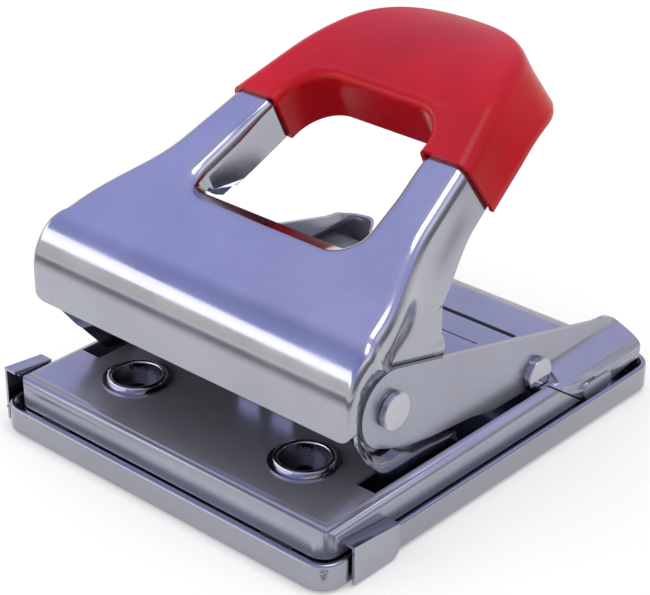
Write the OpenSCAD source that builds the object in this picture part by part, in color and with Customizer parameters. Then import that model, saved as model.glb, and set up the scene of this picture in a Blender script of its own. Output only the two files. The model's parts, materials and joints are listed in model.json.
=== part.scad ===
// Two-hole desk punch of bright sheet steel with a plastic grip over a looped lever.
// Millimetres. X is the width, Y runs from the paper side to the back, Z is up.
// The origin is under the middle of the tray, on the table. Named positions along
// Y are counted from the front face of the tray.

/* [Tray] */
// Outer width of the tray
tray_w = 155.6; // [155:0.2:156.4]
// Depth of the tray, front to back
tray_d = 181.8; // [180:0.2:190]
// Height of the hemmed rim above the table
rim_h = 10.7; // [10.4:0.1:11]
// Corner radius of the tray in plan
tray_corner = 9; // [8:0.5:11]
// Radius of the rolled bottom edge
tray_roll = 1.4; // [1.3:0.1:2.4]
// Sheet thickness of the tray
tray_t = 1; // [0.8:0.1:1.1]
// Height of the folded hem
hem_h = 3; // [2:0.25:4]
// Height of the rubber feet under the floor
foot_h = 0.5; // [0.4:0.05:0.8]
// Diameter of a rubber foot
foot_d = 14; // [10:1:18]

/* [Clips] */
// Outer face of both clips, from the middle plane
clip_x = 79.8; // [79.6:0.1:80.4]
// Sheet thickness of a clip
clip_t = 1; // [0.8:0.1:1.1]
// Front end of the right clip
clip_right_y = 12; // [11.5:0.25:13]
// Length of the right clip
clip_right_len = 22; // [18:0.5:23]
// Height of the right clip at its front
clip_right_h = 15; // [14.6:0.1:16]
// Front end of the left clip
clip_left_y = 5; // [4.5:0.25:6]
// Length of the left clip
clip_left_len = 17; // [14:0.5:18]
// Height of the left clip at its front
clip_left_h = 21.6; // [21:0.1:22]
// Fall of the clip top towards its rear end
clip_fall = 1.8; // [1:0.1:2.4]

/* [Base plate] */
// Outer width over the side walls
base_w = 148; // [147:0.2:148.4]
// Front wall position
base_y0 = 4.8; // [4.6:0.1:5.2]
// Rear wall position
base_y1 = 177; // [176:0.2:177.6]
// Height of the flat top above the table
base_top = 20.7; // [20.5:0.1:20.9]
// Lower edge of the skirt
skirt_z = 9.7; // [9.5:0.1:10]
// Sheet thickness of the base plate
base_t = 1.4; // [1.2:0.1:1.6]
// Radius of the front edge roll
front_roll = 5.2; // [4:0.2:6]
// Radius of the side edge roll
side_roll = 4; // [3:0.25:4.5]
// Radius of the corners in plan
base_corner = 6.5; // [5:0.5:8]
// Radius of the rear edge roll
rear_roll = 15; // [13:0.5:16]
// Distance between the hole centres
hole_pitch = 80; // [79.5:0.5:80.5]
// Distance of the hole centres from the tray front
hole_y = 32.1; // [31.8:0.1:32.4]
// Rear slot position
slot_y = 145.4; // [144:0.2:147]
// Rear slot length
slot_len = 78; // [60:1:90]
// Rear slot width
slot_w = 2.2; // [1.6:0.1:3]

/* [Ears] */
// Outer face of an ear, from the middle plane
ear_x = 65.3; // [65.2:0.05:65.5]
// Sheet thickness of an ear
ear_t = 1.8; // [1.6:0.05:1.85]
// Radius of the rounded front end
ear_r = 13.8; // [13:0.2:14]
// Slope of the upper edge in degrees
ear_slope = 14.04; // [13:0.1:15]
// Front pivot position from the tray front
pivot_y = 45.5; // [45.3:0.1:45.7]
// Front pivot height
pivot_z = 45; // [44.9:0.1:45.1]
// Rear pin position from the tray front
rear_y = 123; // [122.8:0.1:123.2]
// Rear pin height
rear_z = 25; // [25:0.1:25.2]

/* [Dies and punches] */
// Outer diameter of the collar ring
collar_d = 21.4; // [21:0.2:22]
// Bore of the collar
collar_bore = 17.3; // [16.8:0.1:17.6]
// Height of the collar over the base top
collar_h = 2.3; // [2:0.1:2.5]
// Diameter of the collar foot
collar_foot_d = 25; // [24:0.5:26]
// Punch diameter
punch_d = 5.5; // [5:0.1:5.8]
// Height of the punch tips at rest
tip_z = 36.2; // [36:0.1:36.6]
// Running clearance of a punch in its guide, on the radius
punch_fit = 0.05; // [0.03:0.01:0.08]
// Clearance of a punch in the die, on the radius
die_fit = 0.1; // [0.08:0.01:0.12]
// Cutting face of the die insert
die_z = 17.3; // [17.1:0.1:17.5]

/* [Lever] */
// Half width over the nose
nose_x = 74.6; // [74.2:0.1:74.8]
// Front face of the nose
nose_y = 16; // [15.8:0.1:16.2]
// Radius of the nose roll
nose_roll = 14; // [13:0.25:14.5]
// Lower edge of the nose
nose_z = 47.5; // [47:0.1:48]
// Height where the nose roll begins
roll_z = 63.9; // [63.5:0.1:64.2]
// Slope of the front part of the top in degrees
slope_a = 21.5; // [21:0.1:22]
// Slope of the arms in degrees
slope_b = 25.5; // [25:0.1:26]
// Radius of the rolled side edges
edge_roll = 4; // [3.5:0.1:4.5]
// Sheet thickness of the lever
lever_t = 1.4; // [1.2:0.1:1.5]
// Outer face of the side walls inside the ears
wall_x = 63.1; // [63:0.05:63.15]
// Half width of the finger opening at its front
open_x = 36.9; // [36:0.1:38]
// Radius of the front corners of the opening
open_r1 = 9; // [8:0.5:10]
// Radius of the rear corners of the opening
open_r2 = 16.5; // [15:0.5:18]
// Depth of the flange around the opening
flange_h = 8; // [7:0.5:9]
// Depth of the flange along the arms and behind the opening
flange_deep = 18; // [16:0.5:18]
// Radius of the rolled edge of the opening
open_roll = 3.4; // [3:0.1:4]

/* [Grip] */
// Wall thickness of the grip
grip_t = 1.9; // [1.6:0.1:2.1]
// Front edge of the grip along the top line
grip_y = 97; // [95:0.5:99]
// Depth of the grip skirts below the top
grip_h = 18.5; // [17:0.5:19]

/* [Yoke and presser bar] */
// Presser bar position from the tray front
bar_y = 72.5; // [72.3:0.1:72.6]
// Presser bar height
bar_z = 55; // [54.9:0.1:55.2]
// Presser bar diameter
bar_d = 6; // [5:0.25:6.5]
// Presser sleeve diameter
sleeve_d = 9; // [8.5:0.1:9]
// Sheet thickness of the yoke arms
yoke_t = 3; // [2.5:0.1:3]
// Outer face of the yoke arms
yoke_x = 59.8; // [59.4:0.1:59.9]

/* [Springs] */
// Wire diameter of the return springs
wire_d = 0.6; // [0.5:0.05:0.6]
// Mean radius of the return springs
coil_r = 3.9; // [3.8:0.05:4]
// Number of curls in a return spring
curls = 4.5; // [4:0.5:4.5]

/* [Hidden] */

$fn = 64;
steel = [0.74, 0.75, 0.80];
tool = [0.42, 0.43, 0.46];
red = [0.78, 0.06, 0.10];
black = [0.08, 0.08, 0.09];
seat_gap = 0.05;
body_gap = 0.3;
half_w = tray_w / 2;
wall_out = base_w / 2;

module placed() {
  translate([0, -tray_d / 2, 0]) children();
}

// A side outline in (y, z), given thickness along X from x0 to x1
module side_plate(x0, x1) {
  translate([x0, 0, 0])
    rotate([90, 0, 90])
      linear_extrude(x1 - x0) children();
}

// A cylinder along X from x0 to x1 at (y, z)
module along_x(x0, x1, y, z, r) {
  translate([x0, y, z]) rotate([0, 90, 0]) cylinder(h = x1 - x0, r = r);
}

module sided(s) {
  if (s < 0) mirror([1, 0, 0]) children();
  else children();
}

// ---------- tray ----------

// Sweeps an outline (u outwards from the corner centre, z) round a rounded rectangle
module rim_sweep(w, d, r) {
  lx = w - 2 * r;
  ly = d - 2 * r;
  for (s = [0, 1]) {
    translate([0, d / 2, 0]) rotate([0, 0, 180 * s])
      translate([w / 2 - r, ly / 2, 0]) rotate([90, 0, 0]) linear_extrude(ly) children();
    translate([0, d / 2, 0]) rotate([0, 0, 180 * s + 90])
      translate([d / 2 - r, lx / 2, 0]) rotate([90, 0, 0]) linear_extrude(lx) children();
  }
  for (a = [[1, 1, 0], [-1, 1, 90], [-1, -1, 180], [1, -1, 270]])
    translate([a[0] * lx / 2, d / 2 + a[1] * ly / 2, 0])
      rotate([0, 0, a[2]]) rotate_extrude(angle = 90) children();
}

module tray_section() {
  z0 = foot_h;
  r = tray_corner;
  difference() {
    union() {
      translate([r - tray_t, z0 + tray_roll])
        square([tray_t, rim_h - z0 - tray_roll - tray_t]);
      translate([r - 2 * tray_t, rim_h - hem_h]) square([tray_t, hem_h - tray_t]);
      intersection() {
        translate([r - tray_t, rim_h - tray_t]) circle(tray_t);
        translate([r - 2 * tray_t, rim_h - tray_t]) square([2 * tray_t, tray_t]);
      }
      intersection() {
        difference() {
          translate([r - tray_roll, z0 + tray_roll]) circle(tray_roll);
          translate([r - tray_roll, z0 + tray_roll]) circle(tray_roll - tray_t);
        }
        translate([r - tray_roll, z0]) square([tray_roll, tray_roll]);
      }
      translate([0, z0]) square([r - tray_roll, tray_t]);
    }
    translate([-1, z0 - 1]) square([1, rim_h]);
  }
}

lug_x = 71.5;
lug_t = 2;
hinge_y = 150;
hinge_z = 12;
hinge_r = 2;
hinge_fit = 0.05;
lug_r = 6;

ledge_z = 9;
ledge_t = 0.8;
ledge_y = 6.2;
ledge_x = 73.2;
ledge_len = 134;

module chip_tray() {
  color(steel) placed() difference() {
    union() {
      rim_sweep(tray_w, tray_d, tray_corner) tray_section();
      translate([-half_w + tray_corner, 0 + tray_corner, foot_h])
        cube([tray_w - 2 * tray_corner, tray_d - 2 * tray_corner, tray_t]);
      // inner ledge under the skirt of the base plate
      translate([-half_w + 2, 1.5, ledge_z - ledge_t]) cube([tray_w - 4, ledge_y - 1.5, ledge_t]);
      for (s = [-1, 1]) sided(s)
        translate([ledge_x, 3, ledge_z - ledge_t]) cube([half_w - 1.5 - ledge_x, ledge_len, ledge_t]);
      for (s = [-1, 1]) sided(s) side_plate(lug_x - lug_t, lug_x) union() {
        translate([hinge_y, hinge_z]) circle(lug_r);
        translate([hinge_y - lug_r, foot_h + tray_t - 0.1])
          square([2 * lug_r, hinge_z - foot_h - tray_t + 0.1]);
      }
    }
    for (s = [-1, 1]) sided(s)
      along_x(lug_x - lug_t - 1, lug_x + 1, hinge_y, hinge_z, hinge_r + hinge_fit);
  }
}

clip_z0 = 0.6;
clip_round = 4;
module tray_clip(s, y0, len, h) {
  y1 = y0 + len;
  x0 = wall_out + body_gap;
  color(steel) placed() sided(s) union() {
    side_plate(clip_x - clip_t, clip_x) difference() {
      polygon([[y0, clip_z0], [y1, clip_z0], [y1, h - clip_fall], [y0, h]]);
      difference() {
        translate([y1 - clip_round, clip_z0 - 1]) square([clip_round + 1, clip_round + 1]);
        translate([y1 - clip_round, clip_z0 + clip_round]) circle(clip_round);
      }
    }
    // top flange over the rim, towards the base wall
    side_plate(x0, clip_x - clip_t / 2)
      polygon([[y0, h - clip_t], [y1, h - clip_t - clip_fall], [y1, h - clip_fall], [y0, h]]);
    side_plate(x0, x0 + clip_t)
      polygon([[y0 + 2, h - 2.4], [y1, h - 2.4 - clip_fall], [y1, h - clip_fall - 0.5], [y0 + 2, h - 0.5]]);
    // foot of the clip, welded to the tray wall
    side_plate(half_w + seat_gap, clip_x - clip_t / 2)
      polygon([[y0 + 9, clip_z0 + 1], [y1 - 3, clip_z0 + 1], [y1 - 3, clip_z0 + 4], [y0 + 9, clip_z0 + 4]]);
  }
}
module tray_clip_left() { tray_clip(-1, clip_left_y, clip_left_len, clip_left_h); }
module tray_clip_right() { tray_clip(1, clip_right_y, clip_right_len, clip_right_h); }

foot_x = 62;
foot_y = 18;
module foot(sx, back) {
  y = back ? tray_d - foot_y : foot_y + 30;
  color(black) placed() translate([sx * foot_x, y, 0]) union() {
    cylinder(h = foot_h, d = foot_d);
  }
}
module foot_front_left() { foot(-1, false); }
module foot_front_right() { foot(1, false); }
module foot_rear_left() { foot(-1, true); }
module foot_rear_right() { foot(1, true); }

module rest_pad(s) {
  z = ledge_z + seat_gap;
  color(black) placed() sided(s)
    translate([46, base_y0 - 0.5, z]) cube([14, ledge_y - base_y0 + 0.5, skirt_z - body_gap - z]);
}
module rest_pad_left() { rest_pad(-1); }
module rest_pad_right() { rest_pad(1); }

// ---------- base plate ----------

// Side outline of the pressing, inset by d
module base_side(d) {
  z0 = d > 0 ? skirt_z - 5 : skirt_z;
  fy = base_y0 + front_roll;
  fz = base_top - front_roll;
  ry = base_y1 - rear_roll;
  rz = base_top - rear_roll;
  difference() {
    union() {
      translate([fy, z0]) square([ry - fy, base_top - d - z0]);
      translate([base_y0 + d, z0]) square([front_roll, fz - z0]);
      translate([fy, fz]) circle(front_roll - d);
      translate([ry, rz]) circle(rear_roll - d);
      translate([ry - 1, z0]) square([rear_roll * 0.7, rz]);
    }
    translate([ry, -30]) square([60, 30 + (d > 0 ? 0 : skirt_z)]);
  }
}

// Front view of the pressing, inset by d
module base_front(d) {
  z0 = d > 0 ? skirt_z - 5 : skirt_z;
  x = wall_out - side_roll;
  z = base_top - side_roll;
  translate([-x, z0]) square([2 * x, base_top - d - z0]);
  translate([-wall_out + d, z0]) square([base_w - 2 * d, z - z0]);
  for (s = [-1, 1]) translate([s * x, z]) circle(side_roll - d);
}

module base_form(d) {
  intersection() {
    side_plate(-wall_out, wall_out) base_side(d);
    translate([0, tray_d, 0]) rotate([90, 0, 0]) linear_extrude(tray_d) base_front(d);
    linear_extrude(base_top + 5) base_plan(d);
  }
}

// Plan of the pressing with rounded corners, inset by d
module base_plan(d) {
  r = base_corner;
  translate([-wall_out + r, base_y0 + d])
    square([base_w - 2 * r, base_y1 - base_y0 - 2 * d]);
  translate([-wall_out + d, base_y0 + r])
    square([base_w - 2 * d, base_y1 - base_y0 - 2 * r]);
  for (x = [-1, 1]) for (y = [base_y0 + r, base_y1 - r])
    translate([x * (wall_out - r), y]) circle(r - d);
}

slot_x0 = 61;
slot_x1 = 70;
slot_y0 = 33;
slot_y1 = 122;

// Upper edge of the ear: tangent to the front circle
ear_ty = pivot_y + ear_r * sin(ear_slope);
ear_tz = pivot_z + ear_r * cos(ear_slope);
function ear_top(y) = ear_tz - (y - ear_ty) * tan(ear_slope);
ear_low = [[100, 20], [88, 22.6], [66.7, 24.8], [54, 27], [44, 30.6], [38.6, 33]];
ear_end_y = 162.5;
ear_end_r = 14;
ear_end_z = 16.4;

module ear_outline() {
  translate([pivot_y, pivot_z]) circle(ear_r);
  polygon(concat([[ear_ty, ear_tz], [131, ear_top(131)], [131, 19.3]], ear_low));
}

module flare_outline() {
  translate([ear_end_y, ear_end_z]) circle(ear_end_r);
  polygon([[130, 19.4], [133, 18.6], [ear_end_y + ear_end_r - 0.5, 12.3],
    [ear_end_y, ear_end_z + ear_end_r], [ear_end_y - 4, ear_top(ear_end_y - 4)],
    [130, ear_top(130)]]);
}

// The ear runs down vertically, then flares out to the side wall
flare_z0 = 27;
flare_dz = 10;
function ease(t) = t <= 0 ? 0 : t >= 1 ? 1 : t * t * (3 - 2 * t);
function flare(z) = ease((flare_z0 - z) / flare_dz) * (wall_out - ear_x);
flare_n = 12;
flare_pts = [for (i = [0:flare_n]) flare_z0 - flare_dz * i / flare_n];
module flare_section() {
  polygon(concat(
    [[ear_x, 70]], [for (z = flare_pts) [ear_x + flare(z), z]], [[wall_out, 9]],
    [[wall_out - ear_t, 9]],
    [for (i = [flare_n:-1:0]) [ear_x - ear_t + flare(flare_pts[i]), flare_pts[i]]],
    [[ear_x - ear_t, 70]]));
}

module one_ear() {
  side_plate(ear_x - ear_t, ear_x) ear_outline();
  intersection() {
    translate([0, tray_d, 0]) rotate([90, 0, 0]) linear_extrude(tray_d) flare_section();
    side_plate(ear_x - ear_t - 1, wall_out + 1) difference() {
      flare_outline();
      translate([170, 0]) square([20, 12.3]);
      translate([140, 0]) square([40, 12.0]);
    }
  }
  // raised pill over the hinge pin
  side_plate(wall_out - 0.8, wall_out + 0.5) union() {
    for (y = [-5, 5]) translate([hinge_y + y, hinge_z]) circle(3.2);
    translate([hinge_y - 5, hinge_z - 3.2]) square([10, 6.4]);
  }
}

front_pin_r = 4;
rear_pin_r = 2.5;
pin_seat = 0.02;

module base_plate() {
  color(steel) placed() difference() {
    union() {
      difference() {
        base_form(0);
        base_form(base_t);
        // slots for the lever walls
        for (s = [-1, 1]) sided(s) union() {
          translate([slot_x0, slot_y0, skirt_z]) cube([slot_x1 - slot_x0, slot_y1 - slot_y0, 30]);
          // the side wall is stepped back behind the relief cut
          side_plate(wall_out - 0.8, wall_out + 1)
            polygon([[124, 22], [142, 9], [tray_d, 9], [tray_d, 22]]);
          side_plate(slot_x1 - 1, wall_out + 1)
            polygon([[123.4, 21.5], [124.4, 21.5], [142.4, 8.9], [141.4, 8.9]]);
          side_plate(-1, wall_out + 1)
            polygon([[158, 9], [tray_d, 13.2], [tray_d, 9]]);
        }
        // notch under the head of the rear pin
        for (s = [-1, 1]) sided(s)
          along_x(ear_x, ear_x + head_t + 0.4, rear_y, rear_z, head_d / 2 + body_gap);
        // rear slot
        translate([-slot_len / 2, slot_y - slot_w / 2, skirt_z])
          cube([slot_len, slot_w, 30]);
        for (s = [-1, 1]) translate([s * slot_len / 2, slot_y, skirt_z])
          cylinder(h = 30, d = slot_w);
        // shallow score line in front of the slot
        translate([-slot_len / 2 + 6, 131.6, base_top - 0.35]) cube([slot_len - 12, 0.8, 1]);
      }
      for (s = [-1, 1]) sided(s) one_ear();
      // inner liner where the side wall is stepped back
      for (s = [-1, 1]) sided(s)
        side_plate(wall_out - 0.8 - base_t, wall_out - 0.8)
          polygon([[143.4, 9.7], [158, 9.7], [175, 13], [175, 17], [133, 17]]);
    }
    for (s = [-1, 1]) sided(s) union() {
      along_x(ear_x - 5, ear_x + 5, pivot_y, pivot_z, front_pin_r + pin_seat);
      along_x(ear_x - 5, ear_x + 5, rear_y, rear_z, rear_pin_r + pin_seat);
      along_x(wall_out - 6, wall_out - 0.6, hinge_y, hinge_z, hinge_r + pin_seat);
      translate([hole_pitch / 2, hole_y, skirt_z])
        cylinder(h = 30, r = collar_bore / 2 + 1.2 + seat_gap);
      for (x = [rivet_x0, rivet_x1]) translate([x, rivet_y, skirt_z])
        cylinder(h = 30, r = rivet_r + pin_seat);
    }
  }
}

module hinge_pin(s) {
  color(tool) placed() sided(s) along_x(lug_x - lug_t - 2, wall_out - 0.65, hinge_y, hinge_z, hinge_r);
}
module hinge_pin_left() { hinge_pin(-1); }
module hinge_pin_right() { hinge_pin(1); }

// ---------- dies, guide and punches ----------

module die_collar(s) {
  ro = collar_d / 2;
  ri = collar_bore / 2;
  ring_r = (ro - ri) / 2;
  color(steel) placed() translate([s * hole_pitch / 2, hole_y, 0])
    rotate_extrude() union() {
      translate([ri, die_z - 3]) square([1.2, base_top + collar_h - ring_r - die_z + 3]);
      translate([ri, base_top]) square([ro - ri, collar_h - ring_r]);
      translate([ri + ring_r, base_top + collar_h - ring_r]) circle(ring_r);
      translate([ri + 0.5, base_top]) square([collar_foot_d / 2 - ri - 0.5, 0.6]);
      translate([collar_foot_d / 2 - 0.3, base_top + 0.3]) circle(0.3);
    }
}
module die_collar_left() { die_collar(-1); }
module die_collar_right() { die_collar(1); }

module die_insert(s) {
  ri = collar_bore / 2;
  color(tool) placed() translate([s * hole_pitch / 2, hole_y, 0])
    rotate_extrude() union() {
      translate([punch_d / 2 + die_fit, die_z - 3])
        square([ri - seat_gap - punch_d / 2 - die_fit, 3]);
      translate([punch_d / 2 + 1, die_z - 5])
        square([ri + 1 - punch_d / 2 - 1, 2 - seat_gap]);
      translate([punch_d / 2 + 1, die_z - 3.5]) square([4, 1]);
    }
}
module die_insert_left() { die_insert(-1); }
module die_insert_right() { die_insert(1); }

guide_z = 38.8;
guide_t = 2.4;
guide_x = 52;
guide_y0 = 27.2;
guide_y1 = 56.4;
guide_foot = 10;
rivet_r = 2;
rivet_x0 = 20;
rivet_x1 = 46;
rivet_y = guide_y1 + guide_foot / 2;
bush_r = 3.6;

module punch_guide() {
  color(tool) placed() difference() {
    union() {
      side_plate(-guide_x, guide_x) union() {
        difference() {
          translate([guide_y0, base_top]) square([guide_y1 - guide_y0, guide_z + guide_t - base_top]);
          translate([guide_y0 - 1, base_top - 1])
            square([guide_y1 - guide_y0 - guide_t + 1, guide_z - base_top + 1]);
          difference() {
            translate([guide_y1 - 4, guide_z + guide_t - 4]) square([5, 5]);
            translate([guide_y1 - 4, guide_z + guide_t - 4]) circle(4);
          }
        }
        translate([guide_y1 - guide_t, guide_z - 4]) square([guide_t / 2, 5]);
        translate([guide_y1 - guide_t, base_top]) square([guide_foot + guide_t, guide_t]);
      }
      for (x = [-guide_x, 0 - guide_t / 2, guide_x - guide_t])
        side_plate(x, x + guide_t)
          polygon([[guide_y1 - 1, guide_z - 6], [guide_y1 - 1, base_top + 1],
            [guide_y1 + guide_foot - 2, base_top + 1]]);
    }
    for (s = [-1, 1]) {
      translate([s * hole_pitch / 2, hole_y, guide_z - 1])
        cylinder(h = 10, r = bush_r + pin_seat);
      for (x = [rivet_x0, rivet_x1]) translate([s * x, rivet_y, base_top - 1])
        cylinder(h = 10, r = rivet_r + pin_seat);
    }
    // window in the back web
    translate([-14, guide_y1 - guide_t - 1, base_top + 5]) cube([28 - 16, guide_t + 2, 8]);
    translate([2, guide_y1 - guide_t - 1, base_top + 5]) cube([12, guide_t + 2, 8]);
  }
}

module guide_bush(s) {
  color(steel) placed() translate([s * hole_pitch / 2, hole_y, guide_z]) difference() {
    union() {
      cylinder(h = guide_t + 0.6, r = bush_r);
      translate([0, 0, guide_t + seat_gap]) cylinder(h = 0.6, r = 5);
    }
    translate([0, 0, -1]) cylinder(h = 10, r = punch_d / 2 + punch_fit);
  }
}
module guide_bush_left() { guide_bush(-1); }
module guide_bush_right() { guide_bush(1); }

module guide_rivet(s, x) {
  z0 = base_top - base_t;
  color(steel) placed() translate([s * x, rivet_y, 0]) union() {
    translate([0, 0, z0 - 0.8]) cylinder(h = guide_t + base_t + 1.6, r = rivet_r);
    translate([0, 0, z0 - 0.8 - seat_gap]) cylinder(h = 0.8, r = rivet_r + 1.2);
    intersection() {
      translate([0, 0, base_top + guide_t + seat_gap]) cylinder(h = 2, r = rivet_r + 1.2);
      translate([0, 0, base_top + guide_t - 2.4]) sphere(4);
    }
  }
}
module guide_rivet_left() { guide_rivet(-1, rivet_x0); }
module guide_rivet_right() { guide_rivet(1, rivet_x0); }
module guide_rivet_left_2() { guide_rivet(-1, rivet_x1); }
module guide_rivet_right_2() { guide_rivet(1, rivet_x1); }

bar_low = 67.8;
bar_h = 4.8;
head_top = bar_low - body_gap;
head_h = 2.4;
head_r = 4.6;
dome_r = 9;
pin_top = head_top - head_h + 1;
seat_t = 0.9;

module punch(s) {
  color(steel) placed() translate([s * hole_pitch / 2, hole_y, 0]) difference() {
    translate([0, 0, tip_z]) cylinder(h = pin_top - tip_z, r = punch_d / 2);
    // hollow ground tip
    translate([-5, 0, tip_z - 4.6]) rotate([0, 90, 0]) cylinder(h = 10, r = 5.2);
    // shallow ring for the spring seat
    translate([0, 0, tip_z + 1.2]) difference() {
      cylinder(h = 0.3, r = punch_d / 2 + 1);
      translate([0, 0, -1]) cylinder(h = 3, r = punch_d / 2 - 0.15);
    }
  }
}
module punch_left() { punch(-1); }
module punch_right() { punch(1); }

module punch_head(s) {
  color(tool) placed() translate([s * hole_pitch / 2, hole_y, 0]) difference() {
    intersection() {
      translate([0, 0, head_top - head_h]) cylinder(h = head_h, r = head_r);
      translate([0, 0, head_top - dome_r]) sphere(dome_r);
    }
    translate([0, 0, head_top - head_h - 1]) cylinder(h = 2 + seat_gap, r = punch_d / 2 + pin_seat);
  }
}
module punch_head_left() { punch_head(-1); }
module punch_head_right() { punch_head(1); }

module spring_seat(s) {
  color(steel) placed() translate([s * hole_pitch / 2, hole_y, head_top - head_h - seat_t - seat_gap])
    difference() {
      cylinder(h = seat_t, r = 5);
      translate([0, 0, -1]) cylinder(h = 5, r = punch_d / 2 + pin_seat);
    }
}
module spring_seat_left() { spring_seat(-1); }
module spring_seat_right() { spring_seat(1); }

// ---------- pins ----------

head_d = 13;
head_t = 3;

module pin_with_head(x_in, y, z, r) {
  along_x(x_in, ear_x + 1, y, z, r);
  along_x(ear_x + seat_gap, ear_x + 1.2, y, z, head_d / 2 - 0.9);
  along_x(ear_x + 1, ear_x + head_t - 0.4, y, z, head_d / 2);
  along_x(ear_x + 1, ear_x + head_t, y, z, head_d / 2 - 0.4);
}
module front_pin(s) {
  color(steel) placed() sided(s) pin_with_head(bush_x0, pivot_y, pivot_z, front_pin_r);
}
module front_pin_left() { front_pin(-1); }
module front_pin_right() { front_pin(1); }

module rear_pin(s) {
  color(steel) placed() sided(s)
    pin_with_head(yoke_x - yoke_t - 0.6, rear_y, rear_z, rear_pin_r);
}
module rear_pin_left() { rear_pin(-1); }
module rear_pin_right() { rear_pin(1); }

module rear_spacer(s) {
  color(tool) placed() sided(s) difference() {
    along_x(yoke_x + body_gap, ear_x - ear_t - seat_gap, rear_y, rear_z, 3.9);
    along_x(yoke_x - 5, ear_x, rear_y, rear_z, rear_pin_r + pin_seat);
  }
}
module rear_spacer_left() { rear_spacer(-1); }
module rear_spacer_right() { rear_spacer(1); }

// ---------- lever ----------

roll_c = [nose_y + nose_roll, roll_z];
top_y0 = roll_c[0] - nose_roll * sin(slope_a);
top_z0 = roll_c[1] + nose_roll * cos(slope_a);
bend_y = 64;
bend_w = 6;
arch_y = 118;
arch_r = (158 - arch_y) / sin(slope_b);

function top_line(y) =
  y < bend_y - bend_w ? top_z0 + (y - top_y0) * tan(slope_a)
  : y < bend_y + bend_w
    ? top_line(bend_y - bend_w - 0.001) + tan(slope_a) * (y - bend_y + bend_w)
      + (tan(slope_b) - tan(slope_a)) * pow(y - bend_y + bend_w, 2) / (4 * bend_w)
  : y < arch_y ? top_line(bend_y + bend_w - 0.001) + (y - bend_y - bend_w) * tan(slope_b)
  : top_line(arch_y - 0.001)
    + sqrt(arch_r * arch_r - pow(158 - y, 2)) - arch_r * cos(slope_b);
function top_angle(y) =
  y < bend_y - bend_w ? slope_a
  : y < bend_y + bend_w ? slope_a + (slope_b - slope_a) * (y - bend_y + bend_w) / (2 * bend_w)
  : y < arch_y ? slope_b
  : asin((158 - y) / arch_r);

// A point at width x, depth n under the top, at station y of the top line
function under(x, y, n) =
  [x, y + n * sin(top_angle(y)), top_line(y) - n * cos(top_angle(y))];

// Half width of the rolled edge, and of the lower edge of the side wall
tail_slope = 0.165;
grip_slope = 0.28;
foot_slope = 0.19;
waist_y0 = 34;
waist_len = 40;
waist = 8;
function edge_x(y) = let (yy = max(y, 24))
  nose_x - 1 - waist - tail_slope * (min(yy, 95) - 24) - grip_slope * max(yy - 95, 0)
  + waist * (1 - ease((yy - waist_y0) / waist_len)) + 1 - ease((yy - 24) / 10);
function foot_x_at(y) =
  y < 27 ? edge_x(y)
  : y < 42 ? edge_x(y) + (wall_x - edge_x(y)) * ease((y - 27) / 15)
  : y < 62 ? wall_x
  : wall_x - foot_slope * (y - 62);
function wall_depth(y) =
  y < 25 ? 12.5
  : y < 58 ? 12.5 + 12.5 * ease((y - 25) / 14)
  : arm_depth + (25 - arm_depth) * (1 - ease((y - 58) / 30));
arm_depth = 16.5;

// Rounded far end: the width closes along a super-ellipse, the top rolls down
far_len = 26;
far_p = 3;
far_lean = 5;
function far_t(y, y_end) = max(0, (y - (y_end - far_len)) / far_len);
function far_w(y, y_end) = pow(max(0, 1 - pow(far_t(y, y_end), far_p)), 1 / far_p);

arc_n = 5;
wall_n = 4;
// Right half of a section: width w, foot width wf, depth d, roll r; more goes straight on below.
// The wall is a soft step where flat is 0 and a straight slope where it is 1.
function wall_pt(w, wf, d, r, q, flat) =
  [w + (wf - w) * (flat * q + (1 - flat) * ease(q)), r + (d - r) * q];
function half_section(w, wf, d, r, more, flat) = let (b = atan2(flat * (wf - w), d - r)) concat(
  [for (i = [0:arc_n]) let (a = (90 - b) * i / arc_n)
    [w - r / cos(b) + r * sin(a), r - r * cos(a)]],
  [for (i = [1:wall_n - 1]) wall_pt(w, wf, d, r, i / wall_n, flat)],
  more > 0 ? [[wf, d], [wf, d + more]]
    : [wall_pt(w, wf, d, r, 1 - 0.5 / wall_n, flat), [wf, d]]);
function full_section(w, wf, d, r, more, flat = 0) =
  let (h = half_section(w, wf, d, r, more, flat), k = len(h))
  concat([for (i = [k - 1:-1:0]) [-h[i][0], h[i][1]]], h);

// Joins loops of points into one closed solid with fans over its two ends
module loop_stack(loops) {
  m = len(loops[0]);
  k = len(loops);
  function mid(l) = [for (a = [0:2]) let (v = [for (p = l) p[a]]) (min(v) + max(v)) / 2];
  pts = concat([for (l = loops) for (p = l) p], [mid(loops[0]), mid(loops[k - 1])]);
  faces = concat(
    [for (j = [0:k - 2]) for (i = [0:m - 1]) let (n = (i + 1) % m)
      [j * m + i, (j + 1) * m + n, j * m + n]],
    [for (j = [0:k - 2]) for (i = [0:m - 1]) let (n = (i + 1) % m)
      [j * m + i, (j + 1) * m + i, (j + 1) * m + n]],
    [for (i = [0:m - 1]) [k * m, i, (i + 1) % m]],
    [for (i = [0:m - 1]) [k * m + 1, (k - 1) * m + (i + 1) % m, (k - 1) * m + i]]);
  polyhedron(points = pts, faces = faces, convexity = 8);
}

// Loop of the lever form at a station of the top line: g grows it, more lengthens the walls
function slope_loop(y, y_end, r, g, more) = let (
    f = far_w(y, y_end),
    w = max(edge_x(y) * f + g, r + 0.5),
    wf = max(foot_x_at(y) * f + g, r + 0.5),
    d = wall_depth(y) + g,
    lean = far_lean * pow(far_t(y, y_end), 2))
  [for (p = full_section(w, wf, d, r, more, ease((y - 66) / 28)))
    under(p[0], y, p[1] - g) + [0, lean * max(0, p[1] - r) / (d - r), 0]];

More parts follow.
